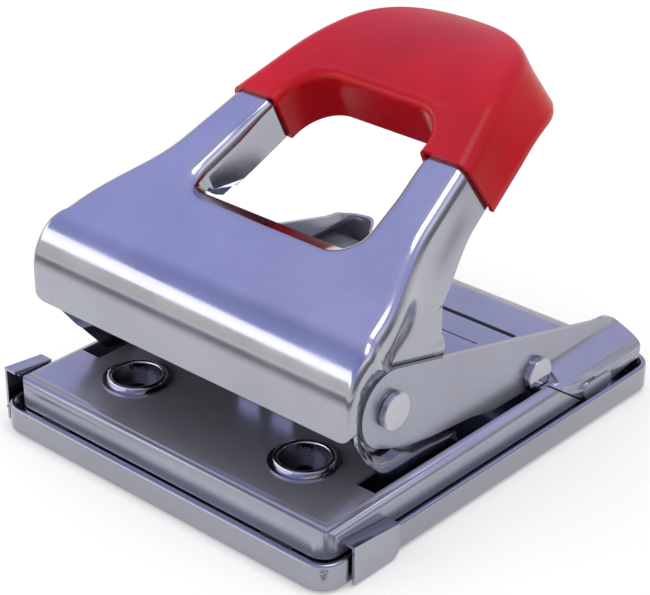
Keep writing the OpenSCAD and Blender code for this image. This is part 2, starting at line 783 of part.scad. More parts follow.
// Loop in the nose, turned by angle a about the roll centre
nose_edge = 2.4;
function roll_loop(a, g, d) = [for (p = full_section(nose_x + g, nose_x + g, d,
    edge_roll + (nose_edge - edge_roll) * a / 90 + g, 0))
  [p[0], roll_c[0] - (nose_roll - p[1] + g) * sin(a), roll_c[1] + (nose_roll - p[1] + g) * cos(a)]];
function skirt_loop(z, g, d) = [for (p = full_section(nose_x + g, nose_x + g, d, nose_edge + g, 0))
  [p[0], nose_y + p[1] - g, z]];

nose_d = 12.5;
stations = concat([for (y = [27:3:54]) y], [for (y = [56:2:74]) y], [for (y = [78:6:126]) y]);
far_end = 161;
far_stations = [for (i = [1:9]) far_end - far_len + far_len * sin(i * 9.7)];

// Filled outer form of the lever cap; g < 0 gives the hollow under the sheet
module cap_form(g, more) {
  loop_stack(concat(
    [for (z = [nose_z - (g < 0 ? 8 : 0), roll_z - 8]) skirt_loop(z, g, nose_d + g)],
    [for (i = [0:9]) roll_loop(90 - (90 - slope_a) * i / 9, g, nose_d + g)],
    [for (y = stations) slope_loop(y, far_end + g, edge_roll + g, g, more)],
    [for (y = far_stations) slope_loop(y + g, far_end + g, edge_roll + g, g, more)]));
}

// Side outline of the inner walls, reaching the slots in the base
wall_pts = [[34.6, 27], [36.4, 24], [40, 21.4], [46, 18.8], [54, 17.8], [75, 18.6], [91, 20.2], [94.2, 21.4],
  [94.6, 23.4], [93, 27], [87, 35.5], [80, 43.5], [75.2, 50.5], [73.4, 57], [73.4, 70.4],
  [67.5, 67.9], [49.2, 60.8], [40, 58], [31, 62], [22, 62], [19, 50]];

// Cheek on the end of the nose: filled form; g < 0 gives its hollow, open to the front
cheek_y = 42;
cheek_z = 30;
cheek_r = 8;
module cheek_form(g) {
  x = nose_x + g;
  f = g < 0 ? 4 : 0;
  hull() {
    translate([50, nose_y - g, nose_z]) cube([x - 50 - 2, 1, 17]);
    translate([50, nose_y - g + 2.5, nose_z]) cube([x - 50, 14, 17]);
  }
  hull() {
    translate([50, nose_y - g - f, nose_z - 1]) cube([x - 50 - 2, 1, 1]);
    translate([50, nose_y - g + 2.5 - f, nose_z - 1]) cube([x - 50, 15, 1]);
    along_x(50, 65.8 + g, cheek_y - f, cheek_z, cheek_r + g);
    along_x(50, 65.8 + g, cheek_y + 4, cheek_z, cheek_r + g);
  }
  hull() {
    translate([50, 30, 44]) cube([x - 50, 1, 24]);
    translate([50, 44 + g, 56]) cube([wall_x + 1 + g - 50, 1, 12]);
  }
}

// Room for the ear: round its pivot and behind, outside the inner wall
ear_room = 1.4;
module ear_form(g) {
  r = ear_r + ear_room + g;
  side_plate(wall_x + 0.1 - g, nose_x + 5) union() {
    translate([pivot_y, pivot_z]) circle(r);
    polygon([[pivot_y - r * sin(10), pivot_z + r * cos(10)],
      [100, pivot_z + r * cos(10) + tan(10) * (100 - pivot_y + r * sin(10))],
      [100, 0], [47, 0], [47, 20]]);
  }
}

// Outline of the finger opening, grown by g: (x, station) points
open_c1 = [open_x - open_r1, 64.6];
open_c2 = [18, 98];
open_n = 10;
function arc_pts(c, r, a0, a1, n) =
  [for (i = [0:n]) let (a = a0 + (a1 - a0) * i / n) [c[0] + r * cos(a), c[1] + r * sin(a)]];
open_tilt = atan2(open_c1[0] + open_r1 - open_c2[0] - open_r2, open_c2[1] - open_c1[1]);
function open_loop(g) = concat(
  arc_pts(open_c1, open_r1 + g, -90, open_tilt, open_n),
  arc_pts(open_c2, open_r2 + g, open_tilt, 90, open_n),
  arc_pts([-open_c2[0], open_c2[1]], open_r2 + g, 90, 180 - open_tilt, open_n),
  arc_pts([-open_c1[0], open_c1[1]], open_r1 + g, 180 - open_tilt, 270, open_n));

// Each profile point is (growth of the outline, depth, 1 where it deepens along the arms)
function deeper(y) = (flange_deep - flange_h) * ease((y - 60) / 8);
module open_solid(profile) {
  loop_stack([for (i = [len(profile) - 1:-1:0])
    [for (q = open_loop(profile[i][0]))
      under(q[0], q[1], profile[i][1] + (profile[i][2] == 1 ? deeper(q[1]) : 0))]]);
}
function roll_profile(r, t, d) = concat(
  [[r + 1.15, 0.43], [r + 1.15, t], [r, t]],
  [for (i = [1:5]) let (a = 90 * i / 5) [r - (r - t) * sin(a), r - (r - t) * cos(a)]],
  [[t, d, 1]]);
function open_cut(r, g, d, top) = concat([[r + g, -4], [r + g, -top]],
  [for (i = [1:5]) let (a = 90 * i / 5) [r + g - r * sin(a), r - r * cos(a) - top]],
  [[g, d]]);

module lever_shell() {
  color(steel) placed() difference() {
    union() {
      difference() {
        union() {
          cap_form(0, 0);
          side_plate(-wall_x, wall_x) polygon(wall_pts);
          for (s = [-1, 1]) sided(s) cheek_form(0);
        }
        for (s = [-1, 1]) sided(s) ear_form(0);
        difference() {
          union() {
            cap_form(-lever_t, 3);
            side_plate(-wall_x + 1.5, wall_x - 1.5)
              polygon([[nose_y + 4, 0], [110, 0], [110, 60], [73.4, 67], [49.2, 60.8],
                [40, 60], [31, 64], [nose_y + 4, 64]]);
            for (s = [-1, 1]) sided(s) cheek_form(-lever_t);
          }
          for (s = [-1, 1]) sided(s) ear_form(lever_t);
        }
      }
      open_solid(roll_profile(open_roll, lever_t, flange_h));
    }
    open_solid(open_cut(open_roll, 0, 60, 0));
    for (s = [-1, 1]) sided(s) union() {
      along_x(wall_x - 4, wall_x + 2, pivot_y, pivot_z, bush_out + 0.1);
      along_x(wall_x - 4, wall_x + 2, bar_y, bar_z, bar_d / 2 + 0.05);
    }
  }
}

bush_out = 6;
bush_x0 = wall_x - 1.5 - 0.7;
pivot_fit = 0.04;
module pivot_bush(s) {
  color(tool) placed() sided(s) difference() {
    union() {
      along_x(bush_x0, wall_x, pivot_y, pivot_z, bush_out);
      along_x(bush_x0, wall_x - 1.5 - seat_gap, pivot_y, pivot_z, bush_out + 1.5);
    }
    along_x(bush_x0 - 1, wall_x + 1, pivot_y, pivot_z, front_pin_r + pivot_fit);
  }
}
module pivot_bush_left() { pivot_bush(-1); }
module pivot_bush_right() { pivot_bush(1); }

module presser_bar() {
  color(tool) placed() along_x(-wall_x, wall_x, bar_y, bar_z, bar_d / 2 - 0.02);
}
module presser_sleeve(s) {
  color(steel) placed() sided(s) difference() {
    along_x(yoke_x - yoke_t - 2, wall_x - 1.5 - 0.2, bar_y, bar_z, sleeve_d / 2);
    along_x(yoke_x - 12, wall_x, bar_y, bar_z, bar_d / 2 + 0.03);
  }
}
module presser_sleeve_left() { presser_sleeve(-1); }
module presser_sleeve_right() { presser_sleeve(1); }

// ---------- grip ----------

grip_fit = 0.15;
module grip_form(g, more, y0) {
  loop_stack(concat(
    [for (y = concat([y0], [for (y = [102:6:126]) y])) slope_loop(y, far_end + g, edge_roll + g, g,
      more)],
    [for (y = far_stations) slope_loop(y + g, far_end + g, edge_roll + g, g, more)]));
}
module grip_cap() {
  color(red) placed() difference() {
    grip_form(grip_t, grip_h - arm_depth, grip_y);
    difference() {
      grip_form(grip_fit, 8, 96);
      open_solid([[-0.1, -3], [-0.1, 40]]);
    }
    open_solid(open_cut(3.2, -0.1 - grip_t, 50, grip_t));
  }
}

// ---------- yoke ----------

yoke_eye = 4;
yoke_top = [[123, 29], [98, 40.4], [78, 48.2], [bar_y, bar_z - sleeve_d / 2 - body_gap],
  [66, 52.6], [58, 57.5], [50, 64.5], [45, 70], [42, bar_low + bar_h]];
yoke_low = [[27, bar_low + bar_h], [27, bar_low], [38, bar_low], [44, 60], [52, 52.4], [62, 45.4],
  [76, 38.4], [98, 28.6], [121, 21.6]];
module presser_yoke() {
  color(tool) placed() difference() {
    union() {
      for (s = [-1, 1]) sided(s) side_plate(yoke_x - yoke_t, yoke_x) union() {
        polygon(concat(yoke_top, yoke_low));
        translate([rear_y, rear_z]) circle(yoke_eye);
      }
      translate([-yoke_x + 1, 27, bar_low]) cube([2 * yoke_x - 2, 15, bar_h]);
    }
    for (s = [-1, 1]) sided(s)
      along_x(yoke_x - 6, yoke_x + 2, rear_y, rear_z, rear_pin_r + 0.04);
  }
}

// ---------- springs ----------

spring_z0 = guide_z + guide_t + 0.6 + seat_gap + 0.1;
spring_z1 = head_top - head_h - seat_t - seat_gap - 0.1;
ring_n = 8;
side_n = 6;
span = spring_z1 - spring_z0 - wire_d;
function rise(t) = let (e = 1 / curls * 0.9, p = 0.16)
  t < e ? p * t / e : t > 1 - e ? 1 - p * (1 - t) / e : p + (1 - 2 * p) * (t - e) / (1 - 2 * e);
function coil_mid(t) = [coil_r * cos(360 * curls * t), coil_r * sin(360 * curls * t),
  spring_z0 + wire_d / 2 + span * rise(t)];
rings = ceil(curls * ring_n);
self_gap = min([for (i = [0:rings - ring_n])
  norm(coil_mid(i / rings) - coil_mid((i + ring_n) / rings))]) - wire_d;

module return_spring(s) {
  loops = [for (j = [0:rings]) let (t = j / rings, c = coil_mid(t), a = 360 * curls * t)
    [for (i = [0:side_n - 1]) let (b = -360 * i / side_n)
      c + [wire_d / 2 * cos(b) * cos(a), wire_d / 2 * cos(b) * sin(a), wire_d / 2 * sin(b)]]];
  color(steel) placed() translate([s * hole_pitch / 2, hole_y, 0]) loop_stack(loops);
}
module return_spring_left() { return_spring(-1); }
module return_spring_right() { return_spring(1); }
echo(least_spring_gap_mm = self_gap);

chip_tray();
tray_clip_left();
tray_clip_right();
foot_front_left();
foot_front_right();
foot_rear_left();
foot_rear_right();
rest_pad_left();
rest_pad_right();
base_plate();
hinge_pin_left();
hinge_pin_right();
die_collar_left();
die_collar_right();
die_insert_left();
die_insert_right();
punch_guide();
guide_bush_left();
guide_bush_right();
guide_rivet_left();
guide_rivet_right();
guide_rivet_left_2();
guide_rivet_right_2();
front_pin_left();
front_pin_right();
rear_pin_left();
rear_pin_right();
rear_spacer_left();
rear_spacer_right();
lever_shell();
pivot_bush_left();
pivot_bush_right();
presser_bar();
presser_sleeve_left();
presser_sleeve_right();
grip_cap();
presser_yoke();
punch_left();
punch_right();
punch_head_left();
punch_head_right();
spring_seat_left();
spring_seat_right();
return_spring_left();
return_spring_right();
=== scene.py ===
import json
import math

import bpy
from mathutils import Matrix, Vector


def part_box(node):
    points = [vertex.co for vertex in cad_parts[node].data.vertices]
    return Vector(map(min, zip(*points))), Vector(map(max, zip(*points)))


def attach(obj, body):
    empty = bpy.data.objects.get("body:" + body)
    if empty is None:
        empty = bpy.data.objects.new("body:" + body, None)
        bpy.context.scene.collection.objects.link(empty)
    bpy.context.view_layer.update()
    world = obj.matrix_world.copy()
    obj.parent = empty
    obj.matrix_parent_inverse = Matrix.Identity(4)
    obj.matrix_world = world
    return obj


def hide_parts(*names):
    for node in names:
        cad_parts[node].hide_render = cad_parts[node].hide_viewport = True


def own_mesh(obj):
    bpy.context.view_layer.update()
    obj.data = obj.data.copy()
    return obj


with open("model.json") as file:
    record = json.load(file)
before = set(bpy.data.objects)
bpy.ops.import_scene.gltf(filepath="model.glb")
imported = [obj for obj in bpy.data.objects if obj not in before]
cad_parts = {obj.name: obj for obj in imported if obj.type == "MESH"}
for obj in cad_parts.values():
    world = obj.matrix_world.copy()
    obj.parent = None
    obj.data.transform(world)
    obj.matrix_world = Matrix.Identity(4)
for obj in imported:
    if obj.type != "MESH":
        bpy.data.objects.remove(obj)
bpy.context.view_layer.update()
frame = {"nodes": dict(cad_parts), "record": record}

bl_info = {
    "name": "Desk punch dressing",
    "version": (1, 0, 0),
    "blender": (4, 5, 0),
    "location": "View3D > Sidebar > Desk punch",
    "description": "Pressed sheet, grip, springs and finishes of a two-hole desk punch",
    "category": "Object",
}

MM = 0.001
# The tray's front face lies this far in front of the origin, in millimetres
FRONT = 90.9
# Points of a solid closer than this, in metres, are merged
MERGE = 0.000004
# Faces of a solid that meet at less than this many degrees are joined
FLAT = 0.5
# Points round a circle
DISC_N = 64


# ---------------------------------------------------------------- small tools

def select_only(obj):
    """Leaves one object selected and active."""
    if bpy.context.object and bpy.context.object.mode != "OBJECT":
        bpy.ops.object.mode_set(mode="OBJECT")
    bpy.ops.object.select_all(action="DESELECT")
    obj.select_set(True)
    bpy.context.view_layer.objects.active = obj


def place(x, y, z):
    """A point given in millimetres, Y counted from the tray's front face."""
    return (x * MM, (y - FRONT) * MM, z * MM)


def add_object(name, data):
    """Puts an object with this data in the scene."""
    obj = bpy.data.objects.new(name, data)
    bpy.context.scene.collection.objects.link(obj)
    return obj


def edit_all(obj, *steps):
    """Runs mesh operators, each on all of an object's elements."""
    select_only(obj)
    bpy.ops.object.mode_set(mode="EDIT")
    for step in steps:
        bpy.ops.mesh.select_all(action="SELECT")
        step()
    bpy.ops.object.mode_set(mode="OBJECT")


def face_outwards():
    """Turns the selected faces outwards, in edit mode."""
    bpy.ops.mesh.normals_make_consistent(inside=False)


def new_piece(name, points, faces):
    """A mesh object at the origin from points in millimetres."""
    mesh = bpy.data.meshes.new(name)
    mesh.from_pydata([place(*p) for p in points], [], faces)
    mesh.validate()
    obj = add_object(name, mesh)
    edit_all(obj, face_outwards)
    return obj


def loft(name, loops):
    """A closed solid through loops of points, with an n-gon on each end."""
    count = len(loops[0])
    points = [p for loop in loops for p in loop]
    faces = []
    for j in range(len(loops) - 1):
        for i in range(count):
            n = (i + 1) % count
            faces.append((j * count + i, (j + 1) * count + i,
                          (j + 1) * count + n, j * count + n))
    last = (len(loops) - 1) * count
    faces.append(tuple(range(count)))
    faces.append(tuple(last + i for i in reversed(range(count))))
    return new_piece(name, points, faces)


def plate(name, x0, x1, outline):
    """A solid between x0 and x1 from a side outline in (y, z)."""
    return loft(name, [[(x, y, z) for y, z in outline] for x in (x0, x1)])


def disc_outline(y, z, r):
    """Points round a circle in (y, z)."""
    turns = [2 * math.pi * i / DISC_N for i in range(DISC_N)]
    return [(y + r * math.cos(a), z + r * math.sin(a)) for a in turns]


def hull(name, points):
    """The convex solid round a set of points in millimetres."""
    mesh = bpy.data.meshes.new(name)
    mesh.from_pydata([place(*p) for p in points], [], [])
    obj = add_object(name, mesh)
    edit_all(obj, bpy.ops.mesh.convex_hull, face_outwards)
    return obj


def combine(obj, tool, how):
    """Joins or cuts obj with tool, and uses the tool up."""
    mod = obj.modifiers.new("combine", "BOOLEAN")
    mod.operation = how
    mod.solver = "MANIFOLD"
    mod.object = tool
    select_only(obj)
    bpy.ops.object.modifier_apply(modifier=mod.name)
    bpy.data.objects.remove(tool)
    if not obj.data.polygons:
        raise RuntimeError(f"{obj.name} is empty after {how}")
    return obj


def cut_out(obj, tool):
    """Cuts tool out of obj."""
    combine(obj, tool, "DIFFERENCE")


def smooth(obj, degrees):
    """Shades smooth, with edges sharper than this angle kept."""
    select_only(obj)
    bpy.ops.object.shade_smooth_by_angle(angle=math.radians(degrees))


def refined_copy(node, name, degrees, extras=()):
    """A copy of a solid with its doubles merged, joined with extras and shaded smooth."""
    obj = add_object(name, frame["nodes"][node].data.copy())
    edit_all(obj, lambda: bpy.ops.mesh.remove_doubles(threshold=MERGE))
    for extra in extras:
        combine(obj, extra, "UNION")
    edit_all(obj, lambda: bpy.ops.mesh.dissolve_limited(angle_limit=math.radians(FLAT)))
    smooth(obj, degrees)
    return obj


# ---------------------------------------------------------------- lever and grip form
# In millimetres and degrees, Y counted from the tray's front face. Most sizes are the solids'
# own; the nose roll, the edge rolls and the rim of the opening are rounder than theirs.

# Nose: half width, front face and lower edge; radius, height and steps of its roll
NOSE_X, NOSE_Y, NOSE_Z = 74.6, 16.0, 47.5
NOSE_ROLL, ROLL_Z, ROLL_N = 20.0, 59.8, 36
# Rolls along the edges, at the skirt and along the top, and the least flat between them
NOSE_EDGE, EDGE_ROLL, MIN_FLAT = 2.4, 5.4, 0.5
# Top line: two slopes with a bend between them, then an arch
SLOPE_A, SLOPE_B = 21.5, 25.5
BEND_Y, BEND_W = 64.0, 6.0
ARCH_Y, ARCH_TOP = 118.0, 158.0
# Edge of the top: it draws in over a lead and a shoulder, then along two tapers
LEAD, LEAD_Y, LEAD_LEN = 1, 24, 10
SHOULDER, SHOULDER_Y, SHOULDER_LEN = 8, 34, 40
TAPER_NEAR, TAPER_FAR, TAPER_Y = 0.165, 0.28, 95
# Sheet of the lever and of its inner walls, and the walls' half width
LEVER_T, WALL_T, WALL_X = 1.4, 1.5, 63.1
# Foot of the walls, and their depth at the skirt, beside the ears and along the arms
FOOT_Y, FOOT_LEN, FOOT_END, FOOT_TAPER = 27, 15, 62, 0.19
SKIRT_DEPTH, SKIRT_Y, SKIRT_LEN = 12.5, 25, 14
WALL_DEPTH, WALL_END, WALL_LEN = 25, 58, 30
ARM_DEPTH = 16.5
# Where the walls go over from a soft step to a straight slope
STRAIGHT_Y, STRAIGHT_LEN = 66, 28
# Top of the plain skirt below the roll's centre; how far a hollow runs out below skirt and walls
SKIRT_GAP, SKIRT_OVER, HOLLOW_MORE = 8, 8, 3
# Stations along the top: from, to, step
TOP_SPANS = ((30, 57, 1.0), (58, 74, 1.0), (76, 132, 2.0))
# Far end: it closes over its last length by this power, and leans out at the foot
FAR_END, FAR_LEN, FAR_P, FAR_LEAN = 161.0, 26.0, 3.0, 5.0
FAR_N, FAR_TURN = 26, 87.3
# Steps round an edge roll and down a wall
ARC_N, WALL_N = 12, 12
# Finger opening: half width, radius and centre of its front and far corners
OPEN_X, OPEN_R1, OPEN_R2 = 36.9, 9.0, 16.5
OPEN_C1, OPEN_C2 = (OPEN_X - OPEN_R1, 64.6), (18.0, 98.0)
# Rim of the opening: radius of its roll behind and in front, and where the one goes over
OPEN_ROLL, OPEN_SOFT, SOFT_Y, SOFT_LEN = 3.4, 5.4, 78, 16
# Ledge in front: turn, length and how soon it fades towards the sides
LEDGE_TURN, LEDGE_LEN, LEDGE_SPREAD = 33.0, 5.2, 1.4
# Flange under the rim: depth in front and along the sides, and where it deepens
FLANGE_H, FLANGE_DEEP, FLANGE_Y, FLANGE_LEN = 8.0, 18.0, 60, 8
# Ring that carries the rim: how far it reaches out, and its top within the sheet
RING_OUT, RING_TOP = 1.15, 0.43
# Reach of a cutter above and below the sheet, and steps round the rim's bend
CUT_ABOVE, CUT_BELOW, BEND_N = 6, 60, 12
# Steps along the opening's outline: front corner, far corner, side, back and front
RAIL_CORNER, RAIL_FAR, RAIL_SIDE, RAIL_BACK, RAIL_FRONT = 28, 20, 16, 10, 12
# Grip: wall, front end, depth, and clearance on the lever
GRIP_T, GRIP_Y, GRIP_H, GRIP_FIT = 1.9, 97.0, 18.5, 0.15
# Its skirt in the opening: clearance, roll and reach of the cutter
GRIP_IN, GRIP_ROLL, GRIP_CUT = 0.1, 3.2, 50
# Stations of its sections, which start further forward and hang deeper in the hollow
GRIP_BACK, GRIP_STEP, GRIP_HOLLOW_Y, GRIP_HOLLOW_MORE = 133, 1.5, 96, 8
# What its hollow leaves inside the opening, above and below the top
KEEP_ABOVE, KEEP_BELOW = 3, 40
# Pivot in (y, z), radius of the ear's round end, and the room left round it and beside it
PIVOT = (45.5, 45.0)
EAR_R, EAR_ROOM, ROOM_GAP = 13.8, 1.4, 0.1
# Holes in the walls: y, z and radius, and the reach of their cutter inwards and outwards
LEVER_HOLES = ((*PIVOT, 6.1), (72.5, 55.0, 3.05))
HOLE_IN, HOLE_OUT = 4, 2
# Edges sharper than this stay sharp in the shading
EDGE_ANGLE = 32


def sin(a):
    """Sine of an angle in degrees, as are cos and tan."""
    return math.sin(math.radians(a))


def cos(a):
    return math.cos(math.radians(a))


def tan(a):
    return math.tan(math.radians(a))


def ease(t):
    """Soft step from 0 to 1."""
    return 0.0 if t <= 0 else 1.0 if t >= 1 else t * t * (3 - 2 * t)


ROLL_C = (NOSE_Y + NOSE_ROLL, ROLL_Z)
TOP_Y0 = ROLL_C[0] - NOSE_ROLL * sin(SLOPE_A)
TOP_Z0 = ROLL_C[1] + NOSE_ROLL * cos(SLOPE_A)
ARCH_R = (ARCH_TOP - ARCH_Y) / sin(SLOPE_B)


def top_line(y):
    """Height of the top at station y."""
    if y < BEND_Y - BEND_W:
        return TOP_Z0 + (y - TOP_Y0) * tan(SLOPE_A)
    start = TOP_Z0 + (BEND_Y - BEND_W - TOP_Y0) * tan(SLOPE_A)
    if y < BEND_Y + BEND_W:
        u = y - BEND_Y + BEND_W
        return start + tan(SLOPE_A) * u + (tan(SLOPE_B) - tan(SLOPE_A)) * u * u / (4 * BEND_W)
    bend = start + (tan(SLOPE_A) + tan(SLOPE_B)) * BEND_W
    if y < ARCH_Y:
        return bend + (y - BEND_Y - BEND_W) * tan(SLOPE_B)
    arch = bend + (ARCH_Y - BEND_Y - BEND_W) * tan(SLOPE_B)
    return arch + math.sqrt(ARCH_R ** 2 - (ARCH_TOP - y) ** 2) - ARCH_R * cos(SLOPE_B)


def top_angle(y):
    """Slope of the top at station y."""
    if y < BEND_Y - BEND_W:
        return SLOPE_A
    if y < BEND_Y + BEND_W:
        return SLOPE_A + (SLOPE_B - SLOPE_A) * (y - BEND_Y + BEND_W) / (2 * BEND_W)
    if y < ARCH_Y:
        return SLOPE_B
    return math.degrees(math.asin((ARCH_TOP - y) / ARCH_R))


def under(x, y, n):
    """A point at width x, depth n under the top, at station y."""
    a = top_angle(y)
    return (x, y + n * sin(a), top_line(y) - n * cos(a))


def edge_x(y):
    """Half width of the top at station y."""
    yy = max(y, LEAD_Y)
    return (NOSE_X - LEAD - SHOULDER - TAPER_NEAR * (min(yy, TAPER_Y) - LEAD_Y)
            - TAPER_FAR * max(yy - TAPER_Y, 0)
            + SHOULDER * (1 - ease((yy - SHOULDER_Y) / SHOULDER_LEN))
            + LEAD - LEAD * ease((yy - LEAD_Y) / LEAD_LEN))


def foot_x(y):
    """Half width at the foot of the walls at station y."""
    if y < FOOT_Y:
        return edge_x(y)
    if y < FOOT_Y + FOOT_LEN:
        return edge_x(y) + (WALL_X - edge_x(y)) * ease((y - FOOT_Y) / FOOT_LEN)
    if y < FOOT_END:
        return WALL_X
    return WALL_X - FOOT_TAPER * (y - FOOT_END)


def wall_depth(y):
    """Depth of the walls at station y."""
    if y < SKIRT_Y:
        return SKIRT_DEPTH
    if y < WALL_END:
        return SKIRT_DEPTH + (WALL_DEPTH - SKIRT_DEPTH) * ease((y - SKIRT_Y) / SKIRT_LEN)
    return ARM_DEPTH + (WALL_DEPTH - ARM_DEPTH) * (1 - ease((y - WALL_END) / WALL_LEN))


def far_t(y, y_end):
    """How far station y is into the far end, from 0 to 1."""
    return max(0.0, (y - (y_end - FAR_LEN)) / FAR_LEN)


def far_w(y, y_end):
    """Share of the width that is left at station y."""
    return max(0.0, 1 - far_t(y, y_end) ** FAR_P) ** (1 / FAR_P)


def half_section(w, wf, d, r, more, flat):
    """Right half of a section; its wall is a soft step at flat 0 and straight at flat 1."""
    b = math.degrees(math.atan2(flat * (wf - w), d - r))
    turn = [(90 - b) * i / ARC_N for i in range(ARC_N + 1)]
    out = [(w - r / cos(b) + r * sin(a), r - r * cos(a)) for a in turn]

    def wall(q):
        return (w + (wf - w) * (flat * q + (1 - flat) * ease(q)), r + (d - r) * q)
    out += [wall(i / WALL_N) for i in range(1, WALL_N)]
    out += [(wf, d), (wf, d + more)] if more > 0 else [wall(1 - 0.5 / WALL_N), (wf, d)]
    return out


def full_section(w, wf, d, r, more, flat=0.0):
    """A section as (x, depth): edge at w, foot at wf, wall to depth d, edge roll r."""
    half = half_section(w, wf, d, r, more, flat)
    return [(-x, n) for x, n in reversed(half)] + half


def slope_loop(y, g, more):
    """The section at station y, grown by g, with more wall below."""
    y_end, r = FAR_END + g, EDGE_ROLL + g
    f = far_w(y, y_end)
    w = max(edge_x(y) * f + g, r + MIN_FLAT)
    wf = max(foot_x(y) * f + g, r + MIN_FLAT)
    d = wall_depth(y) + g
    lean = FAR_LEAN * far_t(y, y_end) ** 2
    out = []
    for x, n in full_section(w, wf, d, r, more, ease((y - STRAIGHT_Y) / STRAIGHT_LEN)):
        p = under(x, y, n - g)
        out.append((p[0], p[1] + lean * max(0, n - r) / (d - r), p[2]))
    return out


def roll_loop(a, g):
    """The section where the nose's roll stands at angle a, grown by g."""
    r = EDGE_ROLL + (NOSE_EDGE - EDGE_ROLL) * a / 90 + g
    y = ROLL_C[0] - NOSE_ROLL * sin(a)
    section = full_section(edge_x(y) + g, foot_x(y) + g, wall_depth(y) + g, r, 0)
    return [(x, ROLL_C[0] - (NOSE_ROLL - n + g) * sin(a),
             ROLL_C[1] + (NOSE_ROLL - n + g) * cos(a)) for x, n in section]


def skirt_loop(z, g, d):
    """The level section of the front skirt at height z and depth d, grown by g."""
    section = full_section(NOSE_X + g, NOSE_X + g, d, NOSE_EDGE + g, 0)
    return [(x, NOSE_Y + n - g, z) for x, n in section]


def span(a, b, step):
    """Stations from a to b, about a step apart."""
    count = max(1, round((b - a) / step))
    return [a + (b - a) * i / count for i in range(count + 1)]


def far_stations():
    """Stations over the far end, closer together towards its tip."""
    return [FAR_END - FAR_LEN + FAR_LEN * sin(FAR_TURN * i / FAR_N) for i in range(1, FAR_N + 1)]


def top_loops(stations, g, more):
    """The sections at these stations and over the far end, grown by g."""
    return ([slope_loop(y, g, more) for y in stations]
            + [slope_loop(y + g, g, more) for y in far_stations()])


def cap_form(name, g, more):
    """The lever's filled form from the skirt over the nose to the far end, grown by g."""
    low = NOSE_Z - (SKIRT_OVER if g < 0 else 0)
    loops = [skirt_loop(z, g, SKIRT_DEPTH + g) for z in (low, ROLL_Z - SKIRT_GAP)]
    loops += [roll_loop(90 - (90 - SLOPE_A) * i / ROLL_N, g) for i in range(ROLL_N + 1)]
    stations = [y for ends in TOP_SPANS for y in span(*ends)]
    return loft(name, loops + top_loops(stations, g, more))


def open_rail():
    """Points of the opening's outline, each with its outward direction."""
    tilt = math.degrees(math.atan2(OPEN_C1[0] + OPEN_R1 - OPEN_C2[0] - OPEN_R2,
                                   OPEN_C2[1] - OPEN_C1[1]))

    def bend(c, r, a0, a1, n):
        turns = [a0 + (a1 - a0) * i / n for i in range(n + 1)]
        return [(c[0] + r * cos(a), c[1] + r * sin(a), cos(a), sin(a)) for a in turns]

    def across(x, y, v, n):
        return [(x * (1 - 2 * i / n), y, 0, v) for i in range(1, n)]
    right = bend(OPEN_C1, OPEN_R1, -90, tilt, RAIL_CORNER)
    far = bend(OPEN_C2, OPEN_R2, tilt, 90, RAIL_FAR)
    side = [tuple(a + (b - a) * i / RAIL_SIDE for a, b in zip(right[-1], far[0]))
            for i in range(1, RAIL_SIDE)]
    half = right + side + far
    left = [(-x, y, -u, v) for x, y, u, v in reversed(half)]
    back = across(half[-1][0], half[-1][1], 1, RAIL_BACK)
    front = across(left[-1][0], left[-1][1], -1, RAIL_FRONT)
    return half + back + left + front


def open_solid(name, steps):
    """A solid through the opening; steps gives (growth, depth) pairs at a point of its outline."""
    rail = open_rail()
    columns = [steps(y, v) for x, y, u, v in rail]
    loops = []
    for k in reversed(range(len(columns[0]))):
        loops.append([under(x + u * column[k][0], y + v * column[k][0], column[k][1])
                      for (x, y, u, v), column in zip(rail, columns)])
    return loft(name, loops)


def plain_steps(*pairs):
    """The same pairs all along the outline."""
    return lambda y, v: pairs


def rim(y, v):
    """Roll radius, turn and flange length of the opening's rim at a point of its outline."""
    front = max(0.0, -v) ** LEDGE_SPREAD
    r = OPEN_ROLL + (OPEN_SOFT - OPEN_ROLL) * (1 - ease((y - SOFT_Y) / SOFT_LEN))
    deep = FLANGE_H + (FLANGE_DEEP - FLANGE_H) * ease((y - FLANGE_Y) / FLANGE_LEN)
    turn = 90 - (90 - LEDGE_TURN) * front
    return r, turn, (1 - front) * (deep - r) + front * LEDGE_LEN


def rim_curve(y, v, t):
    """Roll radius of the rim, and its bend and flange at depth t in the sheet."""
    r, turn, length = rim(y, v)
    bend = [(r - (r - t) * sin(turn * i / BEND_N), r - (r - t) * cos(turn * i / BEND_N))
            for i in range(1, BEND_N + 1)]
    end = (bend[-1][0] - length * cos(turn), bend[-1][1] + length * sin(turn))
    return r, bend + [end]


def rim_under(y, v):
    """Underside of the rolled rim."""
    r, curve = rim_curve(y, v, LEVER_T)
    return [(r + RING_OUT, RING_TOP), (r + RING_OUT, LEVER_T), (r, LEVER_T)] + curve


def rim_top(y, v):
    """Face of the rolled rim, down through the opening."""
    r, curve = rim_curve(y, v, 0)
    return [(r, -CUT_ABOVE), (r, 0)] + curve + [(curve[-1][0], CUT_BELOW)]


def grip_steps():
    """Face of the grip's roll and inner skirt, down through the opening."""
    r, g = GRIP_ROLL, -GRIP_IN - GRIP_T
    bend = [(r + g - r * sin(9 * i), r - r * cos(9 * i) - GRIP_T) for i in range(1, 11)]
    return plain_steps((r + g, -CUT_ABOVE), (r + g, -GRIP_T), *bend, (g, GRIP_CUT))


